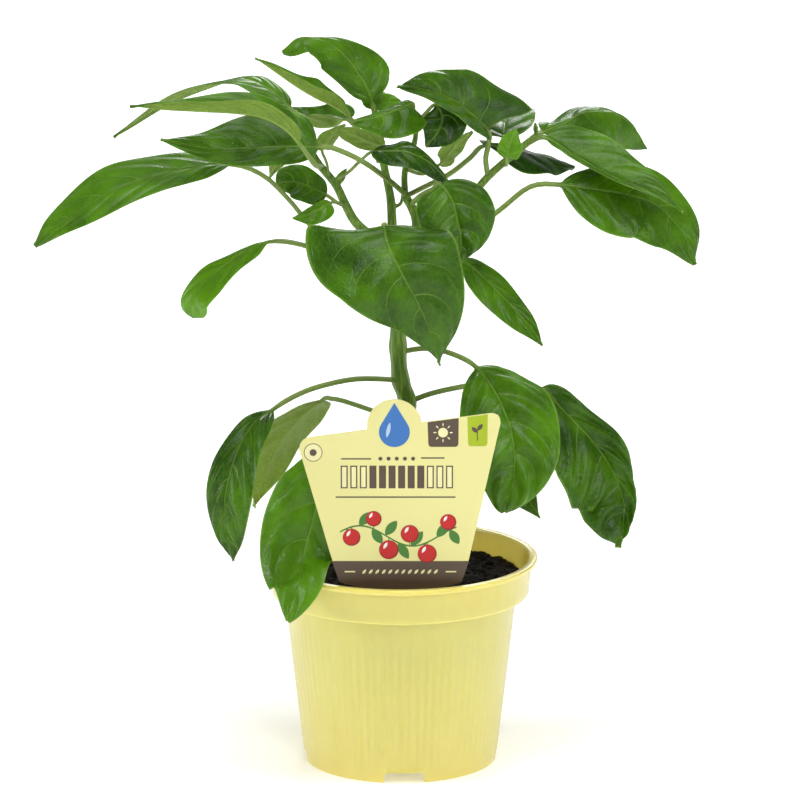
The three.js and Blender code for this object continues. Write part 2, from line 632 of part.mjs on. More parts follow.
// The label's outline, seen from the front, with its stake grown by a margin.
function tagShape(margin) {
  const { left, right, corner, lobeX, lobeZ, lobeRadius, bandHalf, bandTop } = tag;
  const topAt = (x) => tag.top + tag.slope * (x - lobeX);
  const climb = Math.atan(tag.slope);
  const rise = Math.asin(((tag.top - lobeZ) / lobeRadius) * Math.cos(climb));
  const shape = new THREE.Shape();
  shape.moveTo(-bandHalf, bandTop);
  shape.lineTo(left, topAt(left) - corner);
  shape.quadraticCurveTo(left, topAt(left), left + corner, topAt(left + corner));
  shape.absarc(lobeX, lobeZ, lobeRadius, Math.PI - rise + climb, rise + climb, true);
  shape.lineTo(right - corner, topAt(right - corner));
  shape.quadraticCurveTo(right, topAt(right), right, topAt(right) - corner);
  shape.lineTo(bandHalf, bandTop);
  shape.lineTo(tag.footHalf, tag.bandFoot);

  const stakeHalf = tag.stakeHalf + margin;
  const neckHalf = tag.stakeHalf * 0.7 + margin;
  shape.lineTo(stakeHalf, tag.stakeShoulder);
  shape.lineTo(neckHalf, tag.stakeNeck);
  shape.lineTo(0, tag.stakeTip - margin);
  shape.lineTo(-neckHalf, tag.stakeNeck);
  shape.lineTo(-stakeHalf, tag.stakeShoulder);
  shape.lineTo(-tag.footHalf, tag.bandFoot);
  shape.closePath();
  return shape;
}

function tagGeometry(margin) {
  const depth = tag.thickness + 2 * margin;
  const settings = { depth, bevelEnabled: false, curveSegments: 8 };
  const plate = new THREE.ExtrudeGeometry(tagShape(margin), settings);
  return plate.rotateX(Math.PI / 2).translate(0, tag.plane + depth / 2, 0);
}

// ---------- the plant ----------

const plant = new THREE.Group();

function addPiece(name, geometry, color, roughness) {
  const material = new THREE.MeshStandardMaterial({ color, roughness, metalness: 0 });
  const mesh = new THREE.Mesh(geometry, material);
  mesh.name = name;
  plant.add(mesh);
}

const grownStem = stemBody(gap);
addPiece('pot', potGeometry(), 0xe2d882, 0.4);
addPiece('soil', soilGeometry(grownStem, toSolid(tagGeometry(gap))), 0x17120b, 0.95);
addPiece('label', tagGeometry(0), 0xf4eea3, 0.5);
addPiece('stem', toGeometry(stemBody(0)), 0x5d7a2c, 0.6);
for (const [name, leaf] of Object.entries(leaves)) {
  const body = toSolid(leafGeometry({ ...blade, ...leaf }));
  addPiece(name, toGeometry(clearOf(body, grownStem)), 0x3f761c, 0.45);
}

export default plant;
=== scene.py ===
# %% [markdown]
# # A young chilli pepper plant in a nursery pot
#
# The solids of the plant were made elsewhere, at their real size, and this notebook dresses
# them. It loads them as a fixed frame, builds a finer piece over each one in the same place,
# and gives every piece a finish made of shader nodes. Sizes are written in millimetres and
# multiplied by MM, because Blender works in metres. The pot stands on the origin, +X is to
# the right and +Y goes away from the viewer.

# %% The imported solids
import math
import random

import bmesh
import bpy
import numpy as np
from mathutils import Matrix, Vector, noise


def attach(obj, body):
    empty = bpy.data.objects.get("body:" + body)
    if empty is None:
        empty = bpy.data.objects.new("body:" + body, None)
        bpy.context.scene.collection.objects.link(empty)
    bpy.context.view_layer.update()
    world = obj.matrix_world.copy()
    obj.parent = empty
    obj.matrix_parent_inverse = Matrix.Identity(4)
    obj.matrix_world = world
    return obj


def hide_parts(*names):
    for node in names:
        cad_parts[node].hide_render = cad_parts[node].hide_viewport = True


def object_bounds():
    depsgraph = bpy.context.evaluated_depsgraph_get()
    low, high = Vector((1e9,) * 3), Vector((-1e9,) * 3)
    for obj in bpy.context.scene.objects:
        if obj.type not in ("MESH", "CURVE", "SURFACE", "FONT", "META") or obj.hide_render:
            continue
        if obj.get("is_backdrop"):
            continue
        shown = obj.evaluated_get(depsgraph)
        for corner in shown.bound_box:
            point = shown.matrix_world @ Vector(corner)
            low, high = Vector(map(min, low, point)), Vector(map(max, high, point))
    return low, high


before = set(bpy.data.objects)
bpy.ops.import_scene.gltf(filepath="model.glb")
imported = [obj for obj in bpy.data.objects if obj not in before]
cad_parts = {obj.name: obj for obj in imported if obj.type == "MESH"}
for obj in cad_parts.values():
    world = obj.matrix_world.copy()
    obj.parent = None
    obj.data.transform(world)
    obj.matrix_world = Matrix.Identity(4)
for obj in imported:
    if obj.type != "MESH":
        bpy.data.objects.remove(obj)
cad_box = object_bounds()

MM = 0.001
print(len(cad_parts), "solids, from", *cad_box)

# %% [markdown]
# ## The camera
#
# A product picture like this is taken from far away with a long lens, so the pot's rim and
# foot are almost parallel ellipses. Their flatness gives the camera's tilt, and the pot's
# 120 mm rim gives the focal length. A long lens from 2.5 m keeps that look.

# %% Camera
PICTURE_SIDE = 800  # pixels
FOCAL_LENGTH = 5741  # pixels
SENSOR = 36  # mm
CAMERA_DISTANCE = 2500 * MM
CAMERA_TILT = math.radians(13.5)
AIM = Vector((-0.2, 0, 161.4)) * MM

camera_data = bpy.data.cameras.new("camera")
camera_data.sensor_width = SENSOR
camera_data.lens = SENSOR * FOCAL_LENGTH / PICTURE_SIDE
camera = bpy.data.objects.new("camera", camera_data)
towards_camera = Vector((0, -math.cos(CAMERA_TILT), math.sin(CAMERA_TILT)))
camera.location = AIM + towards_camera * CAMERA_DISTANCE
camera.rotation_euler = (-towards_camera).to_track_quat("-Z", "Y").to_euler()
bpy.context.scene.collection.objects.link(camera)
bpy.context.scene.camera = camera
print("lens", round(camera_data.lens, 1), "mm")

# %% [markdown]
# ## Light
#
# The plant stands in an even, bright studio. The light comes from everywhere, with one
# large soft panel above, one at each side for the sheen along the pot, one in front that
# looks into the pot, and one behind that shines through the leaves. Colours are shown as
# they are, without a film curve, so a finish can be set straight to the colour that the eye
# sees.

# %% Light
SKY_COLOUR, SKY_STRENGTH = (1.0, 1.0, 0.99, 1), 0.2
PANELS = {  # place and size in metres, power in watts
    "panel_left": ((-3.2, -0.5, 1.3), 0.7, 32),
    "panel_right": ((3.2, -1.0, 1.4), 1.0, 20),
    "panel_above": ((0.1, -0.5, 3.0), 1.6, 44),
    "panel_back": ((0.3, 3.0, 1.6), 1.0, 24),
    "panel_front": ((0.4, -2.4, 2.3), 0.8, 22),
}

bpy.context.scene.view_settings.view_transform = "Standard"

world = bpy.data.worlds.new("studio")
world.use_nodes = True
sky = world.node_tree.nodes["Background"]
sky.inputs["Color"].default_value = SKY_COLOUR
sky.inputs["Strength"].default_value = SKY_STRENGTH
bpy.context.scene.world = world


def soft_panel(name, place, size, power):
    """A square light that faces the plant."""
    data = bpy.data.lights.new(name, "AREA")
    data.size = size
    data.energy = power
    panel = bpy.data.objects.new(name, data)
    panel.location = place
    panel.rotation_euler = (Vector(place) - AIM).to_track_quat("Z", "Y").to_euler()
    bpy.context.scene.collection.objects.link(panel)


for name, (place, size, power) in PANELS.items():
    soft_panel(name, place, size, power)
print("panels", len(PANELS))

# %% [markdown]
# ## Shader helpers
#
# A finish is a network of small nodes. A few helpers keep such a network readable: they add
# a node and fill its inputs, do arithmetic, fade, mix two colours, draw soft patches and
# give relief. Colours are written as they look on a screen, from 0 to 255, and turned into
# linear light here.


# %% Shader helpers
def colour(red, green, blue):
    """A screen colour as linear light with full opacity."""
    linear = [
        c / 12.92 if c <= 0.04045 else ((c + 0.055) / 1.055) ** 2.4
        for c in (red / 255, green / 255, blue / 255)
    ]
    return (*linear, 1)


def feed(tree, socket, value):
    """Links another socket to this one, or sets a plain value on it."""
    if isinstance(value, bpy.types.NodeSocket):
        tree.links.new(value, socket)
    else:
        socket.default_value = value


def add_node(tree, kind, settings=None, **inputs):
    """Adds a node with its settings and inputs. An input's name has _ for a space."""
    node = tree.nodes.new("ShaderNode" + kind)
    for name, value in (settings or {}).items():
        setattr(node, name, value)
    for name, value in inputs.items():
        feed(tree, node.inputs[name.replace("_", " ")], value)
    return node


def object_place(tree):
    """The place of a point on its piece, in metres."""
    return add_node(tree, "TexCoord").outputs["Object"]


def math_node(tree, operation, *values):
    """The result of one arithmetic node on sockets or numbers."""
    node = add_node(tree, "Math", {"operation": operation})
    for socket, value in zip(node.inputs, values):
        feed(tree, socket, value)
    return node.outputs[0]


def times(tree, first, second):
    return math_node(tree, "MULTIPLY", first, second)


def plus(tree, first, second):
    return math_node(tree, "ADD", first, second)


def fade(tree, value, low, high, start=0.0, end=1.0):
    """A smooth step from start to end while the value goes from low to high."""
    node = add_node(
        tree, "MapRange", {"interpolation_type": "SMOOTHSTEP"},
        Value=value, From_Min=low, From_Max=high, To_Min=start, To_Max=end,
    )
    return node.outputs["Result"]


def mix_colours(tree, share, first, second):
    """The first colour at share 0 and the second at share 1."""
    node = add_node(tree, "Mix", {"data_type": "RGBA"})
    for index, value in ((0, share), (6, first), (7, second)):  # factor, first and second colour
        feed(tree, node.inputs[index], value)
    return node.outputs[2]


def clouds(tree, vector, scale, detail=3.0):
    """Soft random patches from 0 to 1."""
    node = add_node(tree, "TexNoise", Vector=vector, Scale=scale, Detail=detail, Roughness=0.55)
    return node.outputs["Fac"]


def new_finish(name, **constants):
    """A material with its node tree and shader; constants go on the shader's own sockets."""
    material = bpy.data.materials.new(name)
    material.use_nodes = True
    tree = material.node_tree
    shader = tree.nodes["Principled BSDF"]
    for socket, value in constants.items():
        shader.inputs[socket.replace("_", " ")].default_value = value
    return material, tree, shader


def relief(tree, shader, height, depth):
    """Lets the height, from 0 to 1, stand up by the depth in metres."""
    bump = add_node(tree, "Bump", Strength=1.0, Distance=depth, Height=height)
    tree.links.new(bump.outputs["Normal"], shader.inputs["Normal"])


# %% [markdown]
# ## The floor
#
# The floor isn't part of the plant. It is one large pale grid that fills the whole view, with
# a very faint mottle, so that it doesn't look like empty space. It glows a little, and more
# so further out where the panels' light thins, so that it stays white up to the edge of the
# picture.


# %% Floor
FLOOR_HALF = 12.0  # metres
GLOW_REACH = (0.1, 2.2)  # the glow grows between these distances, in metres
GLOW = (0.3, 0.6)  # its strength near the plant and far from it


def floor_finish():
    material, tree, shader = new_finish(
        "studio_floor", Roughness=0.9, Specular_IOR_Level=0.1,
        Emission_Color=colour(255, 255, 255),
    )
    place = object_place(tree)
    reach = add_node(tree, "VectorMath", {"operation": "LENGTH"}, Vector=place).outputs["Value"]
    tree.links.new(fade(tree, reach, *GLOW_REACH, *GLOW), shader.inputs["Emission Strength"])
    mottle = clouds(tree, place, 3.0)
    tint = mix_colours(tree, mottle, colour(250, 250, 249), colour(255, 255, 254))
    tree.links.new(tint, shader.inputs["Base Color"])
    return material


def build_floor():
    bm = bmesh.new()
    bmesh.ops.create_grid(bm, x_segments=4, y_segments=4, size=FLOOR_HALF)
    mesh = bpy.data.meshes.new("floor")
    bm.to_mesh(mesh)
    bm.free()
    mesh.materials.append(floor_finish())
    floor = bpy.data.objects.new("floor", mesh)
    bpy.context.scene.collection.objects.link(floor)
    floor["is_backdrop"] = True
    return floor


floor = build_floor()
print("floor", floor.dimensions.x, "m wide")

# %% [markdown]
# ## Putting a piece in the scene
#
# Every piece ends the same way: its mesh becomes an object at the origin, it rides on the
# one body of the plant, and it stands for the solid that it replaces.


# %% Placing helper
def place_piece(name, mesh, finish, slot, *solids):
    """Shows a mesh as a piece of the plant in place of the named solids."""
    if finish is not None:
        mesh.materials.append(finish)
    piece = bpy.data.objects.new(name, mesh)
    bpy.context.scene.collection.objects.link(piece)
    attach(piece, "root")
    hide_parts(*solids)
    return piece


def finished_mesh(name, bm, smooth=True):
    """Ends a bmesh: faces outwards, and smooth shading where it is asked for."""
    bmesh.ops.recalc_face_normals(bm, faces=bm.faces)
    for face in bm.faces:
        face.smooth = smooth
    mesh = bpy.data.meshes.new(name)
    bm.to_mesh(mesh)
    bm.free()
    return mesh


def with_modifiers(mesh, *settings):
    """The mesh after one or more modifiers, each given as (kind, values)."""
    holder = bpy.data.objects.new("holder", mesh)
    bpy.context.scene.collection.objects.link(holder)
    for kind, values in settings:
        modifier = holder.modifiers.new(kind, kind)
        for name, value in values.items():
            setattr(modifier, name, value)
    shaped = bpy.data.meshes.new_from_object(
        holder.evaluated_get(bpy.context.evaluated_depsgraph_get())
    )
    shaped.name = mesh.name + "_shaped"
    shaped.materials.clear()
    bpy.data.objects.remove(holder)
    return shaped


# %% [markdown]
# ## The leaves: the plant's growth
#
# Each leaf is described by a few readings, in millimetres: the points of its stalk from the
# stem, the points of its midrib from the foot of the blade to the tip, half its greatest
# width, the way its upper side faces at the foot and at the tip (where no end is given it
# faces the same way all along), and how far its two halves fold up, in degrees. A pair
# holds the values of the left and the right half. These are the same readings as the solids
# have, so a fine leaf lies where its solid lies. Two more values are for the looks: bright
# is the depth of the green, from 0, nearly black green, to 1, yellow green, and it also
# paints light into the leaf's colour: a low value is partly painted shade on a leaf in
# shade, and a high one is partly a painted glow or highlight on a leaf lit from behind or
# catching the light. crumple says how many times as uneven as usual a blade is.

# %% Readings of the leaves
LEAVES = {
    "left_long": dict(
        stalk=((-1, 2, 192), (-20, 5, 217), (-38, 0, 238), (-48, -7, 252), (-59, -14, 264)),
        rib=(
            (-73, -20, 270), (-94, -28, 269), (-119, -36, 263), (-141, -42, 251), (-156, -44, 240),
        ),
        half=(13, 19), foot=(0, -0.3, 1), end=(-0.3, -0.5, 0.9), fold=6, widest=0.45, bright=0.52,
    ),
    "left_back": dict(
        stalk=((-41, 22, 272), (-45, 26, 280)),
        rib=(
            (-48, 30, 285), (-52, 36, 288), (-59, 43, 292), (-68, 50, 294), (-82, 56, 291),
            (-102, 61, 283), (-127, 64, 266),
        ),
        half=(9, 8), foot=(0, -0.4, 1), end=(-0.6, 0.6, 0.6), fold=4, widest=(0.5, 0.55),
        taper=(1.4, 1.8), bright=0.5,
    ),
    "left_folded": dict(
        stalk=((-34, 17, 262), (-35, -5, 266), (-37, -33, 273)),
        rib=(
            (-43, -38, 283), (-49, -42, 290), (-58, -44, 295), (-69, -45, 297), (-85, -46, 298),
            (-101, -47, 299), (-114, -49, 301),
        ),
        half=(10, 11), foot=(0, 0.08, 1), end=(0, 0, 1), fold=(50, 60), lobe=(2, 10),
        widest=(0.45, 0.4), bright=0.5,
    ),
    "left_front": dict(
        stalk=((2, -6, 254), (-5, -10, 261), (-17, -17, 271), (-29, -25, 278)),
        rib=((-35, -28, 279), (-49, -32, 280), (-65, -36, 280), (-83, -41, 281), (-101, -46, 286)),
        half=(9, 18), foot=(0, -0.8, 0.6), fold=(4, 4), lobe=(2, 4), widest=(0.38, 0.3),
        bright=0.45, crumple=0.6,
    ),
    "left_hidden": dict(
        stalk=((-36, 18, 263),),
        rib=((-39, 24, 266), (-46, 30, 265), (-53, 36, 261), (-58, 38, 252)),
        half=10, foot=(0, 0.4, 0.9), end=(-0.6, 0.4, 0.7), fold=5, bright=0.6,
    ),
    "top_narrow": dict(
        stalk=((-9, 14, 268), (-16, 12, 275)),
        rib=((-21, 12, 284), (-29, 10, 290), (-36, 6, 294), (-45, 2, 300), (-62, -8, 314)),
        half=(7, 10), foot=(0.3, 0.1, 1), fold=55, widest=0.5, bright=0.6,
    ),
    "top": dict(
        stalk=((-11, 15, 276), (-11, 16, 281)),
        rib=(
            (-12, 13, 290), (-15, 14, 298), (-21, 16, 307), (-31, 16, 316), (-43, 12, 319),
            (-51, 8, 314),
        ),
        half=(12, 14), foot=(0.1, -0.85, 0.45), end=(-0.2, -0.4, 0.9), fold=(0, -6), lobe=(2, 2),
        widest=(0.62, 0.3), taper=(1.2, 5.5), bright=0.5,
    ),
    "back_left": dict(
        stalk=((-8, 14, 265), (-14, 19, 272)),
        rib=((-23, 25, 281), (-29, 32, 277), (-37, 40, 275), (-44, 46, 278), (-49, 50, 282)),
        half=(9, 14), foot=(0, 0, 1), fold=50, bright=0.5,
    ),
    "small_pale": dict(
        stalk=((-31, 14, 258), (-32, 13, 264)),
        rib=((-34, 11, 270), (-32, 11, 274), (-29, 10, 278), (-24, 9, 282)),
        half=6, foot=(-0.4, 0.6, 0.6), fold=10, stalk_radius=0.6, bright=0.7,
    ),
    "middle_grey": dict(
        stalk=((6, 3, 280), (5, 2, 286)),
        rib=((5, 3, 292), (0, -2, 291), (-7, -7, 289), (-14, -12, 288), (-20, -15, 288)),
        half=(14, 4), foot=(0.1, -0.8, 0.6), end=(-0.1, -0.8, 0.6), fold=(6, -20), lobe=(4, 4),
        widest=(0.35, 0.4), taper=(1.7, 1.7), bright=0.5,
    ),
    "middle_under": dict(
        stalk=((-8, 12, 265), (-10, 8, 266)),
        rib=((-8, 4, 273), (-13, 0, 276), (-18, -4, 279), (-24, -7, 282), (-27, -9, 284)),
        half=(5, 6), foot=(0.1, 0.7, 0.3), fold=5, stalk_radius=0.7, bright=0.6,
    ),
    "middle_bright": dict(
        stalk=((-9, 15, 270), (-8, 21, 277)),
        rib=((-11, 20, 286), (-7, 24, 288), (-3, 28, 288), (2, 31, 287)),
        half=(9, 7), foot=(0.1, -0.8, 0.6), fold=5, widest=(0.25, 0.4), bright=0.8,
    ),
    "middle_dark": dict(
        stalk=((-28, 14, 256), (-22, 5, 262), (-17, -6, 269)),
        rib=(
            (-12, -12, 274), (-5, -16, 275), (2, -18, 275), (11, -17, 271), (17, -14, 265),
            (23, -11, 258),
        ),
        half=8.5, foot=(0.1, -0.5, 0.85), end=(0.4, -0.5, 0.75), fold=-4, stalk_radius=0.8,
        bright=0.2,
    ),
    "right_broad": dict(
        stalk=((38, 17, 257), (37, 16, 265), (38, 16, 271)),
        rib=((38, 15, 278), (30, 8, 287), (23, 0, 294), (11, -8, 300), (-1, -14, 303)),
        half=(6, 22), foot=(0.35, -0.8, 0.5), end=(0, -0.57, 0.82), fold=(-10, 20), lobe=(20, 48),
        widest=(0.5, 0.25), bright=0.35, crumple=2.4,
    ),
    "back_middle": dict(
        stalk=((46, 19, 264), (46, 22, 270)),
        rib=((45, 26, 273), (46, 42, 277), (49, 60, 279), (52, 80, 276)),
        half=13, foot=(0, -0.1, 1), end=(0, 0.2, 1), fold=10, bright=0.4,
    ),
    "middle_drooping": dict(
        stalk=((7, 4, 283), (11, 8, 287)),
        rib=((15, 10, 290), (18, 8, 285), (16, 4, 279), (11, 0, 274)),
        half=11, foot=(0.1, -0.9, 0.4), fold=5, stalk_radius=0.8, bright=0.25,
    ),
    "middle_pale": dict(
        stalk=((3, -3, 264), (10, 4, 261)),
        rib=((17, 11, 264), (21, 13, 269), (25, 14, 273), (31, 14, 278)),
        half=8, foot=(-0.4, 0.6, 0.6), fold=5, stalk_radius=0.8, bright=0.6,
    ),
    "young_bright": dict(
        stalk=((45, 18, 262), (46, 9, 264)),
        rib=((46, 4, 268), (47, 2, 272), (48, 0, 277), (50, -1, 282)),
        half=5.5, foot=(0.1, -0.8, 0.5), fold=12, stalk_radius=0.7, bright=0.85,
    ),
    "right_dark": dict(
        stalk=((2, -6, 253), (9, -3, 256), (21, 8, 260), (30, 18, 265)),
        rib=((37, 28, 269), (51, 38, 265), (64, 48, 260), (77, 56, 254)),
        # bright is near black here partly as painted shade, for a leaf that lies in shade
        half=15, foot=(0, -0.3, 0.95), fold=-10, bright=0.05,
    ),
    "right_upper": dict(
        stalk=((59, 22, 275),),
        rib=(
            (62, 27, 275), (72, 34, 278), (81, 42, 281), (93, 50, 279), (102, 56, 272),
            (109, 60, 261),
        ),
        half=(10, 20), foot=(0.1, -0.7, 0.7), end=(0.4, -0.7, 0.5), fold=(-45, 0),
        widest=(0.3, 0.5), bright=0.45,
    ),
    "right_middle": dict(
        stalk=((55, 21, 271),),
        rib=((63, 14, 275), (76, 8, 268), (91, 0, 261), (107, -8, 256), (121, -16, 249)),
        half=(16, 7), foot=(0.1, -0.8, 0.55), end=(0.3, -0.8, 0.5), fold=(4, 50),
        widest=(0.34, 0.5), taper=(1.9, 1.7), bright=0.5,
    ),
    "right_long": dict(
        stalk=((1, 1, 214), (21, 3, 229), (42, 5, 244), (56, 5, 255)),
        rib=(
            (69, 5, 256), (82, 5, 254), (96, 4, 252), (110, 2, 248), (121, -1, 237),
            (128, -5, 223),
        ),
        half=(17, 22), foot=(0, -0.75, 0.65), end=(0.6, -0.6, 0.5), fold=(4, 6),
        widest=(0.5, 0.52), bright=0.46,
    ),
    "front_round": dict(
        stalk=((4, -6, 249), (9, -13, 255), (14, -20, 259)),
        rib=((17, -24, 262), (22, -29, 256), (25, -32, 245), (26, -34, 238), (25, -34, 230)),
        half=17, foot=(0.1, -0.8, 0.5), end=(0.05, -0.9, 0.4), fold=8, lobe=(-5, 6), bright=0.38,
        crumple=3.0,
    ),
    "left_glossy": dict(
        stalk=((-23, 12, 245), (-27, 9, 247)),
        rib=((-32, 7, 251), (-37, 5, 254), (-43, 3, 257), (-49, 2, 258), (-53, 1, 257)),
        half=(9, 8.5), foot=(-0.1, -0.75, 0.6), fold=12, widest=0.5, taper=1.1, stalk_radius=0.8,
        bright=0.42, crumple=3.0,
    ),
    "left_pale": dict(
        stalk=((-21, 10, 241), (-25, 4, 247)),
        rib=((-30, -4, 250), (-35, -9, 248), (-41, -13, 246), (-46, -17, 246)),
        half=(6, 3), foot=(0.1, -0.8, 0.55), fold=5, stalk_radius=0.6, bright=0.7,
    ),
    "left_small": dict(
        stalk=((-1, -1, 206), (-22, -6, 223), (-41, -9, 232)),
        rib=(
            (-56, -14, 235), (-66, -21, 232), (-75, -26, 227), (-83, -29, 221), (-89, -31, 213),
            (-89, -31, 205),
        ),
        half=(12, 8), foot=(-0.2, -0.4, 0.9), end=(-0.6, -0.5, 0.4), fold=8, widest=(0.72, 0.7),
        taper=(1.2, 1.4), bright=0.85,
    ),
    "front_big": dict(
        stalk=((0, -1, 225), (-2, -18, 238), (-6, -30, 245)),
        rib=((-7, -40, 247), (-5, -49, 240), (1, -56, 229), (10, -55, 211), (17, -49, 188)),
        half=(27, 34), foot=(-0.1, -0.85, 0.5), end=(0.1, -0.95, 0.2), fold=6, lobe=(3, 26),
        widest=(0.45, 0.27), bright=0.36,
    ),
    "right_low": dict(
        stalk=((1, 1, 206), (13, 8, 214)),
        rib=((26, 13, 220), (36, 14, 213), (46, 12, 203), (55, 8, 194), (62, 4, 185)),
        half=(7, 10), foot=(0.2, -0.7, 0.65), end=(0.4, -0.7, 0.5), fold=8, widest=0.42,
        # bright is raised here partly as a painted highlight on this leaf
        bright=0.52, crumple=2.4,
    ),
    "low_left": dict(
        stalk=((0, 0, 170), (-8, -5, 172), (-21, -10, 173), (-36, -16, 171), (-46, -21, 168)),
        rib=(
            (-55, -28, 164), (-64, -38, 159), (-71, -48, 147), (-75, -53, 131), (-75, -53, 116),
            (-72, -50, 102),
        ),
        half=(15, 10), foot=(-0.4, -0.6, 0.7), end=(-0.5, -0.8, 0.1), fold=12, widest=0.5,
        bright=0.35, crumple=3.2,
    ),
    "low_left_back": dict(
        stalk=((2, 1, 149), (-6, 5, 153), (-22, 13, 157), (-30, 17, 158)),
        rib=((-35, 22, 156), (-49, 36, 140), (-59, 46, 120), (-66, 50, 101)),
        # bright is high here partly as a painted glow, for a leaf lit from behind
        half=16, foot=(-0.4, 0.6, 0.6), end=(-0.6, 0.7, 0.2), fold=8, bright=0.8,
    ),
    "low_front": dict(
        stalk=((2, -1, 138), (-7, -12, 145), (-17, -22, 150)),
        rib=(
            (-30, -32, 146), (-34, -34, 132), (-38, -35, 116), (-42, -38, 101), (-44, -52, 92),
            (-49, -58, 78),
        ),
        half=(15, 22), foot=(-0.05, -0.95, 0.3), end=(-0.45, -0.85, 0.2), fold=4,
        widest=(0.54, 0.45), bright=0.58,
    ),
    "low_right": dict(
        stalk=((0, 0, 183), (11, 2, 184), (22, 1, 182)),
        rib=((33, -4, 177), (42, -17, 167), (48, -27, 153), (49, -33, 137), (45, -35, 120)),
        half=(22, 23), foot=(0.1, -0.6, 0.8), end=(0.1, -1, 0.1), fold=8, lobe=4,
        widest=(0.46, 0.52), bright=0.5, crumple=4.2,
    ),
    "low_right_back": dict(
        stalk=((3, 1, 160), (13, 5, 163), (27, 10, 165), (44, 15, 166)),
        rib=(
            (62, 18, 162), (72, 21, 151), (84, 22, 138), (93, 20, 125), (98, 17, 112),
            (98, 13, 102), (97, 10, 92),
        ),
        half=(12, 27), foot=(0.3, -0.7, 0.6), end=(0.4, -0.8, 0.2), fold=8, widest=(0.35, 0.5),
        taper=(1.7, 1.2), bright=0.35, crumple=4.2,
    ),
    "low_right_hidden": dict(
        stalk=((2, 2, 143), (13, 10, 145), (24, 16, 144)),
        rib=((34, 22, 138), (44, 28, 126), (54, 32, 112), (62, 32, 100)),
        half=10, foot=(0.4, -0.6, 0.7), end=(0.5, -0.8, 0.3), fold=8, bright=0.4,
    ),
}
print(len(LEAVES), "leaves")

# %% [markdown]
# A smooth curve runs through the points of the stalk and the midrib. On every stretch
# between two points it is a cubic that starts and ends with the slope between the
# neighbours of its ends, so no handles have to be set by hand.


# %% A curve through points
def along_curve(points, share):
    """Places and directions on the curve through the points, at shares from 0 to 1."""
    points = np.array(points, float)
    points = np.vstack([2 * points[0] - points[1], points, 2 * points[-1] - points[-2]])
    spans = len(points) - 3
    place = np.clip(share, 0, 1) * spans
    span = np.minimum(place.astype(int), spans - 1)
    t = (place - span)[:, None]
    before, start, end, after = (points[span + k] for k in range(4))
    leave, arrive = (end - before) / 2, (after - start) / 2
    spot = (
        start * (2 * t**3 - 3 * t**2 + 1) + leave * (t**3 - 2 * t**2 + t)
        + end * (3 * t**2 - 2 * t**3) + arrive * (t**3 - t**2)
    )
    slope = (start - end) * (6 * t**2 - 6 * t) + leave * (3 * t**2 - 4 * t + 1)
    slope += arrive * (3 * t**2 - 2 * t)
    return spot, unit(slope)


def unit(vectors):
    return vectors / np.linalg.norm(vectors, axis=-1, keepdims=True)


def smooth_step(value, low, high):
    t = np.clip((value - low) / (high - low), 0, 1)
    return t * t * (3 - 2 * t)


# %% [markdown]
# ### The surface of a leaf
#
# Every point of a leaf has two numbers: along, from -1 at the stem over 0 at the foot of
# the blade to 1 at the tip, and across, from -1 at the left margin to 1 at the right one.
# The outline says how wide the blade is, and the halves fold up, droop towards their
# margins and ripple a little. The foot of the blade may reach back past its stalk.

# %% Surface of a leaf
USUAL = dict(stalk_radius=1.15, widest=0.38, taper=1.7, lobe=2, crumple=1)
TIP_RADIUS = 0.35  # half width of the tip, as a share of the stalk's radius
OPENING = 6  # the blade opens out over the first sixth of its length
DROOP = 0.12  # how far the margins hang, as a share of the half width
RIPPLE = 0.045  # height of the ripples, as a share of the half width
RIPPLE_TURNS = 15  # radians of ripple along a blade
RIPPLE_SHIFT = 2  # radians between the ripples of the two halves
SECTION_CHANGE = (-0.1, 0.05)  # where along a leaf its round stalk turns into the flat blade


def of_half(value, across):
    """A value given once, or as a pair, for points on the left or the right half."""
    left, right = value if isinstance(value, tuple) else (value, value)
    return np.where(across < 0, left, right)


def outline(u, widest, taper):
    """Width of the blade as a share of its greatest width."""
    shape = u ** (widest * taper) * (1 - u) ** ((1 - widest) * taper)
    top = widest ** (widest * taper) * (1 - widest) ** ((1 - widest) * taper)
    return shape / top


def leaf_surface(leaf, along, across):
    """Points of the middle surface, with their reach from the midrib, in mm."""
    spans = len(leaf["stalk"]) + len(leaf["rib"]) - 1
    start = len(leaf["stalk"]) / spans
    u = np.clip(along, 0, 1)
    share = np.where(along < 0, start * (1 + along), start + (1 - start) * along)
    middle, ahead = along_curve(leaf["stalk"] + leaf["rib"], share)

    foot, end = (unit(np.array(leaf.get(key, leaf["foot"]), float)) for key in ("foot", "end"))
    up = foot + (end - foot) * u[:, None]
    up = unit(up - ahead * (up * ahead).sum(1, keepdims=True))
    side = np.cross(ahead, up)

    half = of_half(leaf["half"], across)
    spread = half * outline(u, of_half(leaf["widest"], across), of_half(leaf["taper"], across))
    thread = leaf["stalk_radius"] * (1 - (1 - TIP_RADIUS) * u)
    width = np.abs(across)
    stalk_share = 1 - smooth_step(along, *SECTION_CHANGE)
    section = width + stalk_share * (np.sin(width * math.pi / 2) - width)
    reach = np.maximum(thread, spread) * section

    opened = np.where(along > 0, np.minimum(1, u * OPENING), 0)
    lift = np.radians(of_half(leaf["fold"], across)) * opened
    edge = across**2 * opened
    ripple = np.sin(u * RIPPLE_TURNS + np.where(across > 0, 0, RIPPLE_SHIFT))
    rise = reach * np.sin(lift) + half * edge * (RIPPLE * ripple - DROOP)
    back = of_half(leaf["lobe"], across) * edge * (1 - u) ** 3
    points = (
        middle + side * (np.sign(across) * reach * np.cos(lift))[:, None]
        + up * rise[:, None] - ahead * back[:, None]
    )
    return points, reach


# %% [markdown]
# ### Veins, quilting and thickness
#
# A pepper leaf has a strong midrib, sunk on the upper side and standing out below, and a
# few side veins that leave it steeply and then bend towards the tip. Between them the
# blade swells up a little, which makes the soft patches of light on a real leaf. The
# number of a side vein grows along the midrib, so a vein lies wherever it is whole.
# The swelling is modelled, and the finish later draws the veins from the same number.

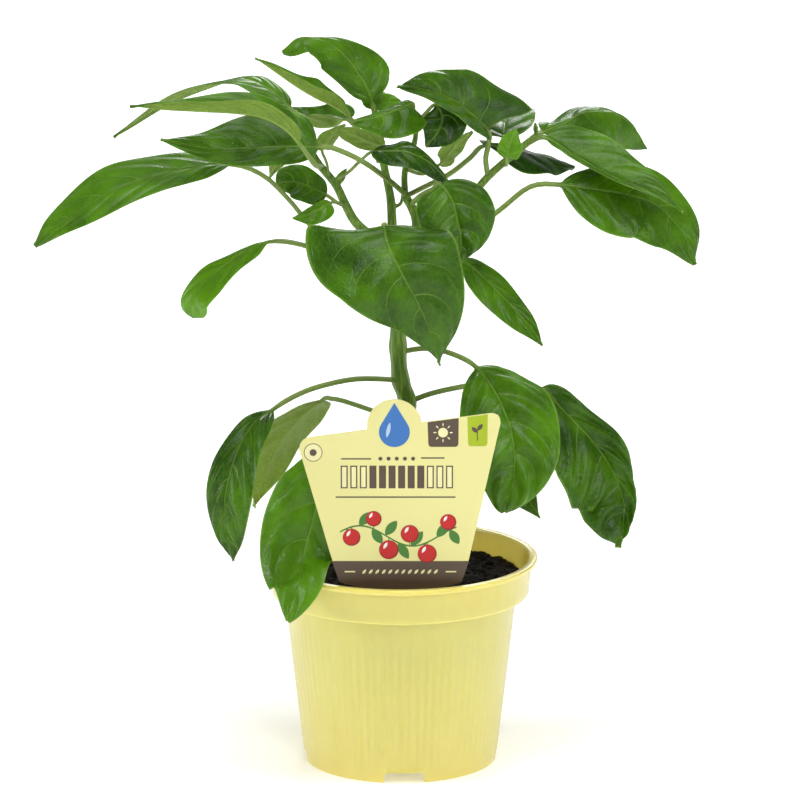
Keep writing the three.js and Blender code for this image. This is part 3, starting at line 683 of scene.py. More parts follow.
# %% Relief of a leaf
BLADE_HALF = 0.19  # half the thickness of the blade, mm
MARGIN_HALF = 0.07  # the same at its margins
RIB_WIDTH = 1.0  # mm
RIB_GROOVE = 0.3  # how deep the midrib is sunk above, mm
RIB_RIDGE = 0.9  # how far it stands out below, mm
SWELLING = 0.03  # height of the swellings, as a share of the half width
UNEVEN = 0.05  # height of the slow unevenness of a blade, as a share of the half width
UNEVEN_SIZE = 24  # mm
VEIN_DISTANCE = 15  # mm along the midrib
VEIN_LEAVE = 0.06  # how far a side vein runs ahead at first, as a share of the blade's length
VEIN_BEND = 0.26  # how far it bends towards the tip at the margin
VEIN_STARTS = (0.5, 0.85)  # the number at the foot of the right and of the left half
STALK_GROOVE = 0.3  # depth of the groove along the stalk, as a share of its radius
THICKNESS_CHANGE = (-0.12, 0.06)  # where along a leaf the stalk's thickness turns into the blade's


def vein_number(along, across, length):
    """The number of the side vein, and the distance between two veins, in mm."""
    count = max(4, round(length / VEIN_DISTANCE))
    width = np.abs(across)
    bent = np.clip(along, 0, 1) - VEIN_LEAVE * width - VEIN_BEND * width**2
    number = bent * count + np.where(across > 0, *VEIN_STARTS)
    return number, length / count * (0.9 - 0.35 * width)


def leaf_relief(along, across, number, half):
    """How far the middle surface swells, in mm."""
    width = np.abs(across)
    on_blade = smooth_step(along, 0.02, 0.15) * (1 - smooth_step(along, 0.85, 1))
    between = 0.5 - 0.5 * np.cos(2 * math.pi * number)
    return half * SWELLING * between * on_blade * np.sin(math.pi * width) ** 0.8


def leaf_thickness(leaf, along, across, reach):
    """How far the upper and the lower side lie from the middle surface, in mm."""
    u = np.clip(along, 0, 1)
    rib = np.exp(-((reach / RIB_WIDTH) ** 2))
    blade = MARGIN_HALF + (BLADE_HALF - MARGIN_HALF) * (1 - across**4)
    above = blade - RIB_GROOVE * rib * (1 - u)
    below = blade + RIB_RIDGE * rib * (1 - 0.85 * u)
    round_stalk = leaf["stalk_radius"] * np.cos(np.abs(across) * math.pi / 2)
    channel = leaf["stalk_radius"] * STALK_GROOVE * np.exp(-((across / 0.45) ** 2))
    stalk_share = 1 - smooth_step(along, *THICKNESS_CHANGE)
    above += stalk_share * (round_stalk - channel - above)
    below += stalk_share * (round_stalk - below)
    return above, below


# %% [markdown]
# ### From a flat slab to a leaf
#
# All leaves start as the same thin slab: a grid that is extruded once, so it has an upper
# side, a lower side and a rim. Its X becomes along, its Y becomes across, and its Z tells
# the two sides apart. The rows lie closer to each other at the midrib, where the shape
# turns fastest.

# %% Leaf slab
ROWS_ALONG = 80
ROWS_ACROSS = 36
STALK_END = -0.6  # place on the slab, from -1 to 1, where the stalk ends


def leaf_slab():
    """A closed flat slab from -1 to 1 in X and Y, and its points as arrays."""
    bm = bmesh.new()
    bmesh.ops.create_grid(bm, x_segments=ROWS_ALONG, y_segments=ROWS_ACROSS, size=1)
    lower = set(bm.verts)
    bmesh.ops.extrude_face_region(bm, geom=bm.faces[:])
    upper = [v for v in bm.verts if v not in lower]
    bmesh.ops.translate(bm, verts=upper, vec=(0, 0, 1))
    bmesh.ops.recalc_face_normals(bm, faces=bm.faces)
    for face in bm.faces:
        face.smooth = True
    for edge in bm.edges:  # the rim stays crisp
        tips = [abs(v.co.y) > 0.999 or abs(v.co.x) > 0.999 for v in edge.verts]
        edge.smooth = not (all(tips) and edge.verts[0].co.z == edge.verts[1].co.z)
    mesh = bpy.data.meshes.new("leaf_slab")
    bm.to_mesh(mesh)
    bm.free()
    points = np.zeros(len(mesh.vertices) * 3)
    mesh.vertices.foreach_get("co", points)
    return mesh, points.reshape(-1, 3)


slab, slab_points = leaf_slab()
slab_x, slab_y, slab_z = slab_points.T
along = np.where(
    slab_x < STALK_END,
    (slab_x - STALK_END) / (1 + STALK_END), (slab_x - STALK_END) / (1 - STALK_END),
)
across = -slab_y * (0.4 + 0.6 * np.abs(slab_y))
upper = slab_z > 0.5
print("slab", len(slab.polygons), "faces")

# %% [markdown]
# The finish needs to know where it is on a leaf, whatever way the leaf lies. So each point
# keeps three small vectors: its place in millimetres, its vein number, and which side it is
# on, how much it belongs to the stalk, and how bright its leaf is, which is partly its own
# green and partly painted light and shade.

# %% Leaf mesh
STEP_ALONG, STEP_ACROSS = 0.01, 0.05  # steps to both sides that give the slope of the surface
COLOUR_CHANGE = (-0.05, 0.04)  # where along a leaf the stalk's green turns into the blade's


def set_vectors(mesh, name, *columns):
    values = np.column_stack([np.broadcast_to(c, along.shape) for c in columns])
    attribute = mesh.attributes.new(name, "FLOAT_VECTOR", "POINT")
    attribute.data.foreach_set("vector", values.astype(np.float32).ravel())


def unevenness(points, seed):
    shift = Vector((seed, 0, 0))
    return np.array([noise.noise(Vector(p) / UNEVEN_SIZE + shift) for p in points])


def leaf_mesh(name, seed):
    leaf = {**USUAL, **LEAVES[name]}

    def surface(along, across):
        return leaf_surface(leaf, along, across)[0]

    length = np.linalg.norm(np.diff(np.array(leaf["rib"], float), axis=0), axis=1).sum()
    points, reach = leaf_surface(leaf, along, across)
    fore = surface(along + STEP_ALONG, across) - surface(along - STEP_ALONG, across)
    inner = across * 0.94  # a round stalk has no slope at its very edge
    over = surface(along, inner + STEP_ACROSS) - surface(along, inner - STEP_ACROSS)
    normal = unit(np.cross(over, fore))

    half = float(np.max(leaf["half"]))
    number, distance = vein_number(along, across, length)
    swell = leaf_relief(along, across, number, half) * leaf["crumple"]
    on_blade = smooth_step(along, 0, 0.2) * np.abs(across)
    swell += unevenness(points, seed) * half * UNEVEN * on_blade * leaf["crumple"]
    above, below = leaf_thickness(leaf, along, across, reach)
    offset = swell + np.where(upper, above, -below)
    points = points + normal * offset[:, None]

    mesh = slab.copy()
    mesh.name = "leaf_" + name + "_mesh"
    mesh.vertices.foreach_set("co", (points * MM).astype(np.float32).ravel())
    rib_along, rib_distance = np.clip(along, 0, 1) * length, np.sign(across) * reach
    set_vectors(mesh, "leaf_place", rib_along, rib_distance, seed * 7.0)
    set_vectors(mesh, "leaf_vein", number, np.abs(across), distance)
    stalk_share = 1 - smooth_step(along, *COLOUR_CHANGE)
    set_vectors(mesh, "leaf_side", upper.astype(float), stalk_share, leaf["bright"])
    mesh.update()
    return mesh


# %% [markdown]
# ### The finish of a leaf
#
# The upper side is a deep, waxy green. The midrib and the side veins are lighter and more
# yellow, and a fine net of veins fills the fields between them. The lower side is paler
# and matt, and its veins stand out. The stalk is light green. The line of a side vein is
# drawn where the vein number comes close to a whole number. The rim of the blade is a thin
# pale line, and a few pale specks lie on it. A blade lets some light through, which the
# subsurface setting gives, so a leaf against the light doesn't turn black.

# %% Finish of the leaves
VEIN_SHARE, RIM_SHARE = 0.36, 0.4  # how much of the upper green the pale veins and rim replace


def leaf_finish():
    material, tree, shader = new_finish(
        "leaf_green", Specular_IOR_Level=0.26, Subsurface_Weight=0.3,
        Subsurface_Scale=0.6 * MM, Subsurface_Radius=(0.6, 1.0, 0.2),
    )

    def three(name):
        vector = add_node(tree, "Attribute", {"attribute_name": name}).outputs["Vector"]
        return vector, add_node(tree, "SeparateXYZ", Vector=vector).outputs

    place, (rib_along, rib_distance, _) = three("leaf_place")
    _, (number, width, distance) = three("leaf_vein")
    _, (side, stalk, brightness) = three("leaf_side")

    # side veins, midrib and the net between them
    turn = math_node(tree, "FRACT", plus(tree, number, 0.5))
    off_line = math_node(tree, "ABSOLUTE", math_node(tree, "SUBTRACT", turn, 0.5))
    vein_mm = times(tree, off_line, distance)
    vein_half = fade(tree, width, 0.0, 1.0, 0.26, 0.08)
    side_vein = fade(tree, math_node(tree, "DIVIDE", vein_mm, vein_half), 0.4, 1.3, 1.0, 0.0)
    side_vein = times(tree, side_vein, fade(tree, width, 0.55, 0.95, 1.0, 0.15))
    rib_half = fade(tree, rib_along, 0.0, 80.0, 0.62, 0.2)
    midrib = math_node(tree, "DIVIDE", math_node(tree, "ABSOLUTE", rib_distance), rib_half)
    midrib = fade(tree, midrib, 0.5, 1.2, 1.0, 0.0)
    veins = math_node(tree, "MAXIMUM", side_vein, midrib)
    net = add_node(
        tree, "TexVoronoi", {"feature": "DISTANCE_TO_EDGE"}, Vector=place, Scale=0.42
    ).outputs["Distance"]
    net_line = fade(tree, net, 0.0, 0.16, 1.0, 0.0)

    # upper side
    patches = clouds(tree, place, 0.07)
    grain = clouds(tree, place, 0.9, detail=4.0)
    # the tone follows the leaf's bright value, so it carries that value's painted shade and painted
    # glow or highlight
    tone = plus(tree, brightness, math_node(tree, "MULTIPLY_ADD", patches, 0.8, -0.4))
    tone = plus(tree, tone, math_node(tree, "MULTIPLY_ADD", grain, 0.24, -0.12))
    green = mix_colours(tree, fade(tree, tone, 0.0, 1.0), colour(18, 54, 0), colour(98, 154, 10))
    green = mix_colours(tree, times(tree, net_line, 0.12), green, colour(96, 146, 36))
    green = mix_colours(tree, times(tree, veins, VEIN_SHARE), green, colour(140, 176, 72))
    margin = fade(tree, width, 0.95, 0.99, 0.0, RIM_SHARE)
    green = mix_colours(tree, margin, green, colour(136, 172, 66))
    dot = add_node(tree, "TexVoronoi", Vector=place, Scale=0.1).outputs["Distance"]
    green = mix_colours(tree, fade(tree, dot, 0.02, 0.045, 0.5, 0.0), green, colour(170, 190, 110))

    # lower side
    # the lower side follows the same tone, which gives a backlit underside a painted glow
    pale = mix_colours(tree, fade(tree, tone, 0.0, 1.0), colour(92, 124, 34), colour(148, 178, 74))
    pale = mix_colours(tree, times(tree, net_line, 0.3), pale, colour(92, 124, 36))
    pale = mix_colours(tree, times(tree, veins, 0.6), pale, colour(156, 182, 92))

    blade = mix_colours(tree, side, pale, green)
    streaks = clouds(tree, place, 0.5)
    stalk_green = mix_colours(tree, streaks, colour(112, 140, 62), colour(150, 172, 96))
    tree.links.new(mix_colours(tree, stalk, blade, stalk_green), shader.inputs["Base Color"])

    # the upper side is waxy, the lower side and the stalk are matt
    matt = math_node(tree, "MAXIMUM", math_node(tree, "SUBTRACT", 1.0, side), stalk)
    waxy = math_node(tree, "MULTIPLY_ADD", grain, 0.12, 0.26)
    rough = math_node(tree, "MULTIPLY_ADD", fade(tree, matt, 0.0, 1.0), 0.24, waxy)
    tree.links.new(rough, shader.inputs["Roughness"])

    # veins are sunk above and stand out below, and the blade falls away towards them
    sink = math_node(tree, "MULTIPLY_ADD", side, -1.6, 0.8)
    furrow = fade(tree, vein_mm, 0.0, 3.2, 1.0, 0.0)
    furrow = times(tree, furrow, fade(tree, width, 0.6, 1.0, 1.6, 0.4))
    height = times(tree, plus(tree, veins, furrow), sink)
    height = plus(tree, height, times(tree, net_line, -0.22))
    height = plus(tree, height, times(tree, grain, 0.15))
    relief(tree, shader, height, 0.22 * MM)
    return material


# %% All leaves
leaf_green = leaf_finish()
for seed, name in enumerate(LEAVES):
    place_piece("blade_" + name, leaf_mesh(name, seed), leaf_green, "leaf", "leaf_" + name)
print("leaf faces", len(LEAVES) * len(slab.polygons))
bpy.data.meshes.remove(slab)

# %% [markdown]
# ## Stem, forks and buds
#
# The stem is one grown body: a ribbed trunk that forks, thinner shoots and a few buds in
# the forks. Tubes that cross would show hard seams, so they are made as separate shells
# first, and then a voxel remesh melts them into one skin with soft joints, as wood grows.
# The points are the same readings, in millimetres, as those of the solid.

# %% Readings of the stem
TRUNK = (
    (0, 0, 48), (1, 0, 87), (2, 0, 116), (3, 1, 143), (3, 1, 160), (0, 0, 171),
    (-1, 0, 188), (0, 0, 206), (0, 0, 224),
)
SHOOTS = (  # points, radius at the foot and at the tip
    (
        ((0, 0, 221), (-9, 5, 230), (-19, 9, 238), (-24, 12, 246), (-28, 14, 254), (-35, 17, 262)),
        2.3, 1.7,
    ),
    (((-34, 17, 261), (-38, 19, 267), (-41, 22, 273)), 1.4, 1.2),
    (
        (
            (0, 0, 221), (-3, 6, 231), (-4, 9, 246), (-5, 10, 253), (-8, 14, 266), (-10, 15, 272),
            (-11, 15, 277),
        ),
        2.3, 1.3,
    ),
    (((0, 0, 221), (5, -4, 232), (7, -6, 241), (5, -6, 248), (2, -6, 253)), 2.4, 1.9),
    (((2, -6, 252), (2, -2, 264), (6, 2, 275), (7, 4, 284)), 1.5, 1.1),
    (
        (
            (0, 0, 221), (8, 4, 230), (17, 8, 238), (27, 12, 245), (38, 17, 257), (51, 20, 268),
            (60, 22, 275),
        ),
        2.1, 1.5,
    ),
    (((-4, 9, 245), (0, 8, 247), (1, 7, 252)), 0.9, 0.6),
)
BUDS = (  # place, direction, length, radius
    ((3, 1, 160), (0.9, -0.4, 1), 6, 1.6),
    ((0, 0, 170), (-0.9, -0.4, 1), 6, 1.6),
    ((-28, 14, 254), (0.6, -0.3, 1), 10, 2.0),
    ((59, 22, 275), (-0.1, -0.1, 1), 6, 1.2),
)
TRUNK_FOOT, TRUNK_TOP = 3.7, 3.3  # radius, mm
RIBS = 5  # ridges round the trunk
RIB_DEPTH = 0.09  # as a share of the radius
NODES = (116, 143, 160, 170, 185, 206, 221)  # heights where a leaf or shoot left the trunk
NODE_SWELL = 0.14  # as a share of the radius
NODE_REACH = 3.5  # mm up and down the trunk
SKIN_GRAIN = 0.4  # size of the remesh's cells, mm


# %% Tubes and buds
def add_tube(bm, points, radius_at, steps, sides=20, ribs=0):
    """A closed tube along the points; radius_at takes the share of the way and the place."""
    first = len(bm.verts)
    bmesh.ops.create_cone(
        bm, cap_ends=True, cap_tris=False, segments=sides, radius1=1, radius2=1, depth=1
    )
    edges = [
        e for e in bm.edges[-3 * sides:] if abs(e.verts[0].co.z - e.verts[1].co.z) > 0.5
    ]
    bmesh.ops.subdivide_edges(bm, edges=edges, cuts=steps - 1)
    bm.verts.ensure_lookup_table()
    verts = bm.verts[first:]
    shares = np.array([v.co.z + 0.5 for v in verts])
    spots, ahead = along_curve(points, shares)
    for vert, share, spot, forward in zip(verts, shares, spots, ahead):
        forward = Vector(forward)
        side = forward.cross(Vector((0.2, 1, 0.1))).normalized()
        other = forward.cross(side)
        angle = math.atan2(vert.co.y, vert.co.x)
        ridge = RIB_DEPTH * math.cos(ribs * angle) * bool(ribs)
        radius = radius_at(share, spot[2]) * (1 + ridge)
        ring = side * math.cos(angle) * radius + other * math.sin(angle) * radius
        vert.co = (Vector(spot) + ring) * MM


def add_bud(bm, place, toward, length, radius):
    """A pointed egg with its foot on the stem."""
    made = bmesh.ops.create_uvsphere(bm, u_segments=14, v_segments=10, radius=1)
    turn = Vector(toward).to_track_quat("Z", "Y").to_matrix()
    for vert in made["verts"]:
        t = (vert.co.z + 1) / 2
        around = Vector((vert.co.x, vert.co.y, 0))
        if around.length > 1e-6:
            around = around.normalized() * radius * math.sin(math.pi * t**0.7)
        vert.co = (Vector(place) + turn @ (around + Vector((0, 0, length * t)))) * MM


def trunk_radius(share, height):
    swell = sum(math.exp(-(((height - h) / NODE_REACH) ** 2)) for h in NODES)
    return (TRUNK_FOOT + (TRUNK_TOP - TRUNK_FOOT) * share) * (1 + NODE_SWELL * swell)


def stem_mesh():
    bm = bmesh.new()
    add_tube(bm, TRUNK, trunk_radius, sides=30, steps=90, ribs=RIBS)
    for points, foot, tip in SHOOTS:
        add_tube(bm, points, lambda share, _: foot + (tip - foot) * share, steps=30)
    for place, toward, length, radius in BUDS:
        add_bud(bm, place, toward, length, radius)
    mesh = finished_mesh("stem_shells", bm)
    return with_modifiers(
        mesh,
        ("REMESH", dict(mode="VOXEL", voxel_size=SKIN_GRAIN * MM, use_smooth_shade=True)),
        ("SMOOTH", dict(factor=0.5, iterations=3)),
    )


# %% [markdown]
# The stem's green is darker than the stalks'. Fine pale streaks run up it, and it turns
# brownish in patches and near the soil.

# %% Finish of the stem
def stem_finish():
    material, tree, shader = new_finish("stem_green", Roughness=0.5, Specular_IOR_Level=0.4)
    place = object_place(tree)
    stretched = add_node(tree, "Mapping", Vector=place, Scale=(900, 900, 60))
    streaks = clouds(tree, stretched.outputs["Vector"], 1.0, detail=2.0)
    patches = clouds(tree, place, 60.0)
    green = mix_colours(
        tree, fade(tree, streaks, 0.3, 0.75), colour(70, 105, 24), colour(122, 156, 52)
    )
    green = mix_colours(tree, fade(tree, patches, 0.6, 0.85, 0.0, 0.35), green, colour(84, 84, 34))
    height = add_node(tree, "SeparateXYZ", Vector=place).outputs["Z"]
    woody = fade(tree, height, 86 * MM, 130 * MM, 0.6, 0.0)
    green = mix_colours(tree, woody, green, colour(104, 96, 48))
    tree.links.new(green, shader.inputs["Base Color"])
    relief(tree, shader, streaks, 0.3 * MM)
    return material


stem = place_piece("stem_grown", stem_mesh(), stem_finish(), "stem", "stem")
print("stem faces", len(stem.data.polygons))

# %% [markdown]
# ## The pot
#
# A nursery pot is blown or moulded in thin pale plastic: a rolled lip, a plain collar, and
# a body that tapers to a foot ring, with fine upright flutes all round. Its outline is a
# half section that is spun about the axis. The section's corners are rounded first, and the
# flutes are pressed in afterwards, because they only move points in and out.

# %% Measures of the pot
POT = dict(
    height=91.6, lip_radius=60, lip_height=2.2, collar_top=57.6, collar_foot=56.3,
    collar_height=16.3, body_top=51.0, body_foot=42.3, wall=1.2, floor_rise=4.8, foot_ring=2.2,
    pad_radius=8,
)
SPIN_STEPS = 504
FLUTES = 84
FLUTE_DEPTH = 0.22  # mm
FLUTE_TOP, FLUTE_FOOT = 68.0, 5.5  # heights where the flutes run out
WALL_SLACK = 0.3  # how far off the body's cone a point still counts as its outside, mm
CORNER_RADIUS = 0.9  # of the section, mm
SECTION_STEP = 4  # longest stretch between two points of the section, mm


def rounded(corners, radius, pieces=4):
    """The corners of an open outline, each turned into a short arc of about that radius."""
    corners = [Vector(c) for c in corners]
    points = [corners[0]]
    for before, corner, after in zip(corners, corners[1:], corners[2:]):
        to_before, to_after = before - corner, after - corner
        cut = min(radius, to_before.length * 0.45, to_after.length * 0.45)
        first, last = corner + to_before.normalized() * cut, corner + to_after.normalized() * cut
        for k in range(pieces + 1):
            t = k / pieces
            points.append(first * (1 - t) ** 2 + corner * 2 * t * (1 - t) + last * t * t)
    return points + [corners[-1]]


def pot_section():
    """Half section of the pot from the middle of its underside to the middle of its floor."""
    p = POT
    step = p["height"] - p["collar_height"]
    floor_top = p["floor_rise"] + p["wall"]
    under_lip = p["height"] - p["lip_height"]
    outside = [
        (0, 0), (p["pad_radius"], 0), (p["pad_radius"] + 1, p["floor_rise"]),
        (p["body_foot"] - p["foot_ring"] - 0.6, p["floor_rise"]),
        (p["body_foot"] - p["foot_ring"], 0), (p["body_foot"], 0), (p["body_top"], step),
        (p["collar_foot"], step), (p["collar_top"], under_lip), (p["lip_radius"], under_lip),
        (p["lip_radius"], p["height"]), (p["collar_top"] - p["wall"], p["height"]),
        (p["collar_foot"] - p["wall"], step + p["wall"]),
        (p["body_top"] - p["wall"], step - p["wall"]), (p["body_foot"] - p["wall"], floor_top),
        (0, floor_top),
    ]
    return rounded(outside, CORNER_RADIUS)


# %% Pot mesh
def split_long(points, longest):
    """The same outline with extra points wherever two are further apart than that."""
    out = [points[0]]
    for start, end in zip(points, points[1:]):
        pieces = max(1, math.ceil((end - start).length / longest))
        out += [start.lerp(end, (k + 1) / pieces) for k in range(pieces)]
    return out


def press_flutes(bm):
    """Fine upright flutes on the outside of the body."""
    body_height = POT["height"] - POT["collar_height"]
    widening = POT["body_top"] - POT["body_foot"]
    for vert in bm.verts:
        radius, height = math.hypot(vert.co.x, vert.co.y), vert.co.z / MM
        wall_radius = POT["body_foot"] + widening * height / body_height
        if abs(radius / MM - wall_radius) > WALL_SLACK:
            continue
        run = smooth_step(height, FLUTE_FOOT, FLUTE_FOOT + 3)
        run -= smooth_step(height, FLUTE_TOP - 5, FLUTE_TOP)
        angle = math.atan2(vert.co.y, vert.co.x)
        depth = FLUTE_DEPTH * MM * run * (0.5 + 0.5 * math.cos(FLUTES * angle)) ** 0.7
        vert.co.xy *= (radius - depth) / radius


def pot_mesh():
    bm = bmesh.new()
    points = split_long(pot_section(), SECTION_STEP)
    verts = [bm.verts.new((p.x * MM, 0, p.y * MM)) for p in points]
    edges = [bm.edges.new(pair) for pair in zip(verts, verts[1:])]
    bmesh.ops.spin(
        bm, geom=verts + edges, cent=(0, 0, 0), axis=(0, 0, 1), angle=2 * math.pi,
        steps=SPIN_STEPS, use_merge=True,
    )
    bmesh.ops.remove_doubles(bm, verts=bm.verts, dist=0.01 * MM)
    press_flutes(bm)
    return finished_mesh("pot_shell", bm)


# %% [markdown]
# Four notches in the foot let water out, and four round holes go through the floor. They
# are cut with a Boolean, from blocks with rounded corners.

# %% Notches and drain holes
NOTCH = dict(width=17.5, depth=12, height=4.8, count=4, turn=2.4, corner=1.4)  # turn in degrees
DRAIN = dict(radius=3.5, circle=27)


def cutters_mesh():
    bm = bmesh.new()
    for k in range(NOTCH["count"]):
        turn = Matrix.Rotation(math.radians(NOTCH["turn"] + k * 360 / NOTCH["count"]), 4, "Z")
        size = Matrix.Diagonal((NOTCH["width"], NOTCH["depth"], NOTCH["height"] * 2, 1000))
        place = Matrix.Translation((0, -POT["body_foot"] * MM, 0))
        made = bmesh.ops.create_cube(bm, size=1, matrix=turn @ place @ (size * MM))
        out = turn @ Vector((0, 1, 0))
        along_out = [
            e for e in {e for v in made["verts"] for e in v.link_edges}
            if abs((e.verts[0].co - e.verts[1].co).normalized().dot(out)) > 0.9
        ]
        bmesh.ops.bevel(
            bm, geom=along_out, offset=NOTCH["corner"] * MM, offset_type="OFFSET", segments=4,
            profile=0.5, affect="EDGES", material=-1,
        )
        drain = turn @ Matrix.Translation((DRAIN["circle"] * MM, 0, POT["floor_rise"] * MM))
        bmesh.ops.create_cone(
            bm, cap_ends=True, segments=24, radius1=DRAIN["radius"] * MM,
            radius2=DRAIN["radius"] * MM, depth=6 * MM, matrix=drain,
        )
    return finished_mesh("pot_cutters", bm, smooth=False)


def cut_pot():
    cutters = bpy.data.objects.new("pot_cutters", cutters_mesh())
    bpy.context.scene.collection.objects.link(cutters)
    mesh = with_modifiers(
        pot_mesh(), ("BOOLEAN", dict(operation="DIFFERENCE", solver="MANIFOLD", object=cutters))
    )
    bpy.data.objects.remove(cutters)
    return mesh


# %% [markdown]
# The plastic is a warm pale yellow, half glossy, and so thin that light from outside glows
# through to the inner wall, which the subsurface setting gives. Its colour has faint upright
# streaks of tone, and handling leaves it not quite even in gloss.

# %% Finish of the pot
def pot_finish():
    material, tree, shader = new_finish(
        "pot_plastic", Specular_IOR_Level=0.5, Coat_Weight=0.4, Coat_Roughness=0.2,
        Subsurface_Weight=1.0, Subsurface_Scale=3 * MM, Subsurface_Radius=(1.0, 0.9, 0.5),
    )
    place = object_place(tree)
    upright = add_node(tree, "Mapping", Vector=place, Scale=(160, 160, 12))
    bands = clouds(tree, upright.outputs["Vector"], 1.0, detail=2.0)
    patches = clouds(tree, place, 30.0)
    yellow = mix_colours(tree, bands, colour(228, 214, 116), colour(234, 222, 130))
    yellow = mix_colours(
        tree, fade(tree, patches, 0.4, 0.8, 0.0, 0.4), yellow, colour(224, 209, 112)
    )
    tree.links.new(yellow, shader.inputs["Base Color"])
    tree.links.new(fade(tree, patches, 0.2, 0.8, 0.28, 0.38), shader.inputs["Roughness"])
    relief(tree, shader, clouds(tree, place, 1800.0), 0.02 * MM)
    return material


pot = place_piece("pot_moulded", cut_pot(), pot_finish(), "pot", "pot")
print("pot faces", len(pot.data.polygons), "height", round(pot.dimensions.z / MM, 1), "mm")

# %% [markdown]
# ## Soil
#
# Moist peat is nearly black, and it lies in crumbs of all sizes. A flat grid is pushed
# into a disc and lifted by several layers of noise, which gives the clods. Then loose
# crumbs, as small broken stones of few faces, and some fibres are strewn over it, half
# sunk. All draws are seeded, so the soil is the same each time.

# %% Soil
SOIL = dict(top=82, mound=2.5, radius=54.6, crumble=2.2)
SOIL_RINGS = ((54.2, 77.6), (48.9, 73.4), (40.4, 6.6))  # radius and height of its hidden sides
SOIL_GRID = 190
CRUMBS, FIBRES = 900, 70
CRUMB_SIZES = (0.5, 0.7, 0.7, 1.0, 1.4)  # radius, mm
STREWING_SEED = 5


def soil_height(x, y):
    """Height of the soil's surface in mm at a place in mm."""
    radius = math.hypot(x, y)
    clods = noise.fractal(Vector((x, y, 3)) / 9, 1.0, 2.0, 4)
    grit = abs(noise.noise(Vector((x, y, 8)) / 2.2))
    mound = SOIL["mound"] * (1 - radius / SOIL["radius"])
    return SOIL["top"] + mound + SOIL["crumble"] * (0.75 * clods - 0.35 * grit)


def soil_mesh():
    bm = bmesh.new()
    bmesh.ops.create_grid(bm, x_segments=SOIL_GRID, y_segments=SOIL_GRID, size=SOIL["radius"])
    for vert in bm.verts:
        x, y = vert.co.x / SOIL["radius"], vert.co.y / SOIL["radius"]
        x, y = x * math.sqrt(1 - y * y / 2), y * math.sqrt(1 - x * x / 2)
        place = Vector((x, y)) * SOIL["radius"]
        vert.co = Vector((*place, soil_height(*place))) * MM
    rim = [e for e in bm.edges if e.is_boundary]
    for radius, height in SOIL_RINGS:
        made = bmesh.ops.extrude_edge_only(bm, edges=rim)
        for vert in (g for g in made["geom"] if isinstance(g, bmesh.types.BMVert)):
            vert.co.xy = vert.co.xy.normalized() * radius * MM
            vert.co.z = height * MM
        rim = [g for g in made["geom"] if isinstance(g, bmesh.types.BMEdge) and g.is_boundary]
    bmesh.ops.holes_fill(bm, edges=rim, sides=0)
    return finished_mesh("soil_clods", bm)


def strewn_place(draw, margin):
    """A random place in mm, at least the margin inside the edge of the soil."""
    radius = (SOIL["radius"] - margin) * math.sqrt(draw.random())
    angle = draw.uniform(0, 2 * math.pi)
    return radius * math.cos(angle), radius * math.sin(angle)


def crumbs_mesh():
    draw = random.Random(STREWING_SEED)
    bm = bmesh.new()
    for _ in range(CRUMBS):
        x, y = strewn_place(draw, 1)
        size = draw.choice(CRUMB_SIZES)
        made = bmesh.ops.create_icosphere(bm, subdivisions=2 if size > 1 else 1, radius=size)
        turn = Matrix.Rotation(draw.uniform(0, 6), 3, (draw.random(), draw.random(), 0.5))
        stretch = Matrix.Diagonal((1, draw.uniform(0.6, 1), draw.uniform(0.5, 0.9)))
        for vert in made["verts"]:
            lump = turn @ stretch @ (vert.co * draw.uniform(0.8, 1.15))
            vert.co = (Vector((x, y, soil_height(x, y) + size * 0.2)) + lump) * MM
    for _ in range(FIBRES):
        x, y = strewn_place(draw, 3)
        length, width = draw.uniform(3, 7), draw.uniform(0.25, 0.5)
        made = bmesh.ops.create_cube(bm, size=1)
        lay = Matrix.Rotation(draw.uniform(0, math.pi), 3, "Z")
        lean = Matrix.Rotation(draw.uniform(-0.35, 0.35), 3, "Y")
        shape = lay @ lean @ Matrix.Diagonal((length, width, width * 0.6))
        for vert in made["verts"]:
            vert.co = (Vector((x, y, soil_height(x, y) + 0.5)) + shape @ vert.co) * MM
    return finished_mesh("soil_crumbs", bm, smooth=False)


def soil_finish():
    material, tree, shader = new_finish("peat", Roughness=0.92, Specular_IOR_Level=0.25)
    place = object_place(tree)
    patches = clouds(tree, place, 220.0, detail=4.0)
    grain = clouds(tree, place, 1500.0, detail=4.0)
    brown = mix_colours(tree, fade(tree, patches, 0.35, 0.8), colour(10, 8, 5), colour(32, 23, 15))
    brown = mix_colours(tree, fade(tree, grain, 0.5, 0.85, 0.0, 0.5), brown, colour(46, 35, 25))
    tree.links.new(brown, shader.inputs["Base Color"])
    relief(tree, shader, grain, 0.5 * MM)
    return material


peat = soil_finish()
place_piece("soil_bed", soil_mesh(), peat, "soil", "soil")
place_piece("soil_crumbs", crumbs_mesh(), peat, "soil", "soil")
print("crumbs", CRUMBS, "fibres", FIBRES)

# %% [markdown]
# ## The stick-in label
#
# The label is a thin plastic plate with a stake that goes down into the soil. Its outline
# is drawn once, as the solid's is: a trapezium with a sloping top edge, rounded corners, a
# round lobe and a stake. The face between the points is extruded to the plate's thickness,
# and its edges get a small bevel so that they catch the light.

# %% Label outline
TAG = dict(
    plane=-46, thickness=0.7, top=161.1, slope=0.136, left=-43.3, right=42.8, band_top=101,
    band_foot=92, band_half=29.2, foot_half=26.2, lobe_x=-2.6, lobe_z=161, lobe_radius=11.8,
    corner=5, stake_half=6, stake_shoulder=86, stake_neck=72, stake_tip=64,
)


def arc(x, z, radius, start, end, pieces):
    """Points on an arc, with the angles in radians."""
    angles = [start + (end - start) * k / pieces for k in range(pieces + 1)]
    return [Vector((x + radius * math.cos(a), z + radius * math.sin(a))) for a in angles]


def tag_top(x):
    """Height of the sloping top edge."""
    return TAG["top"] + TAG["slope"] * (x - TAG["lobe_x"])


def turn_corner(start, corner, end, pieces=8):
    """Points on a smooth bend from start to end, drawn towards the corner."""
    start, corner, end = Vector(start), Vector(corner), Vector(end)
    shares = [k / pieces for k in range(pieces + 1)]
    return [start * (1 - t) ** 2 + corner * 2 * t * (1 - t) + end * t * t for t in shares]


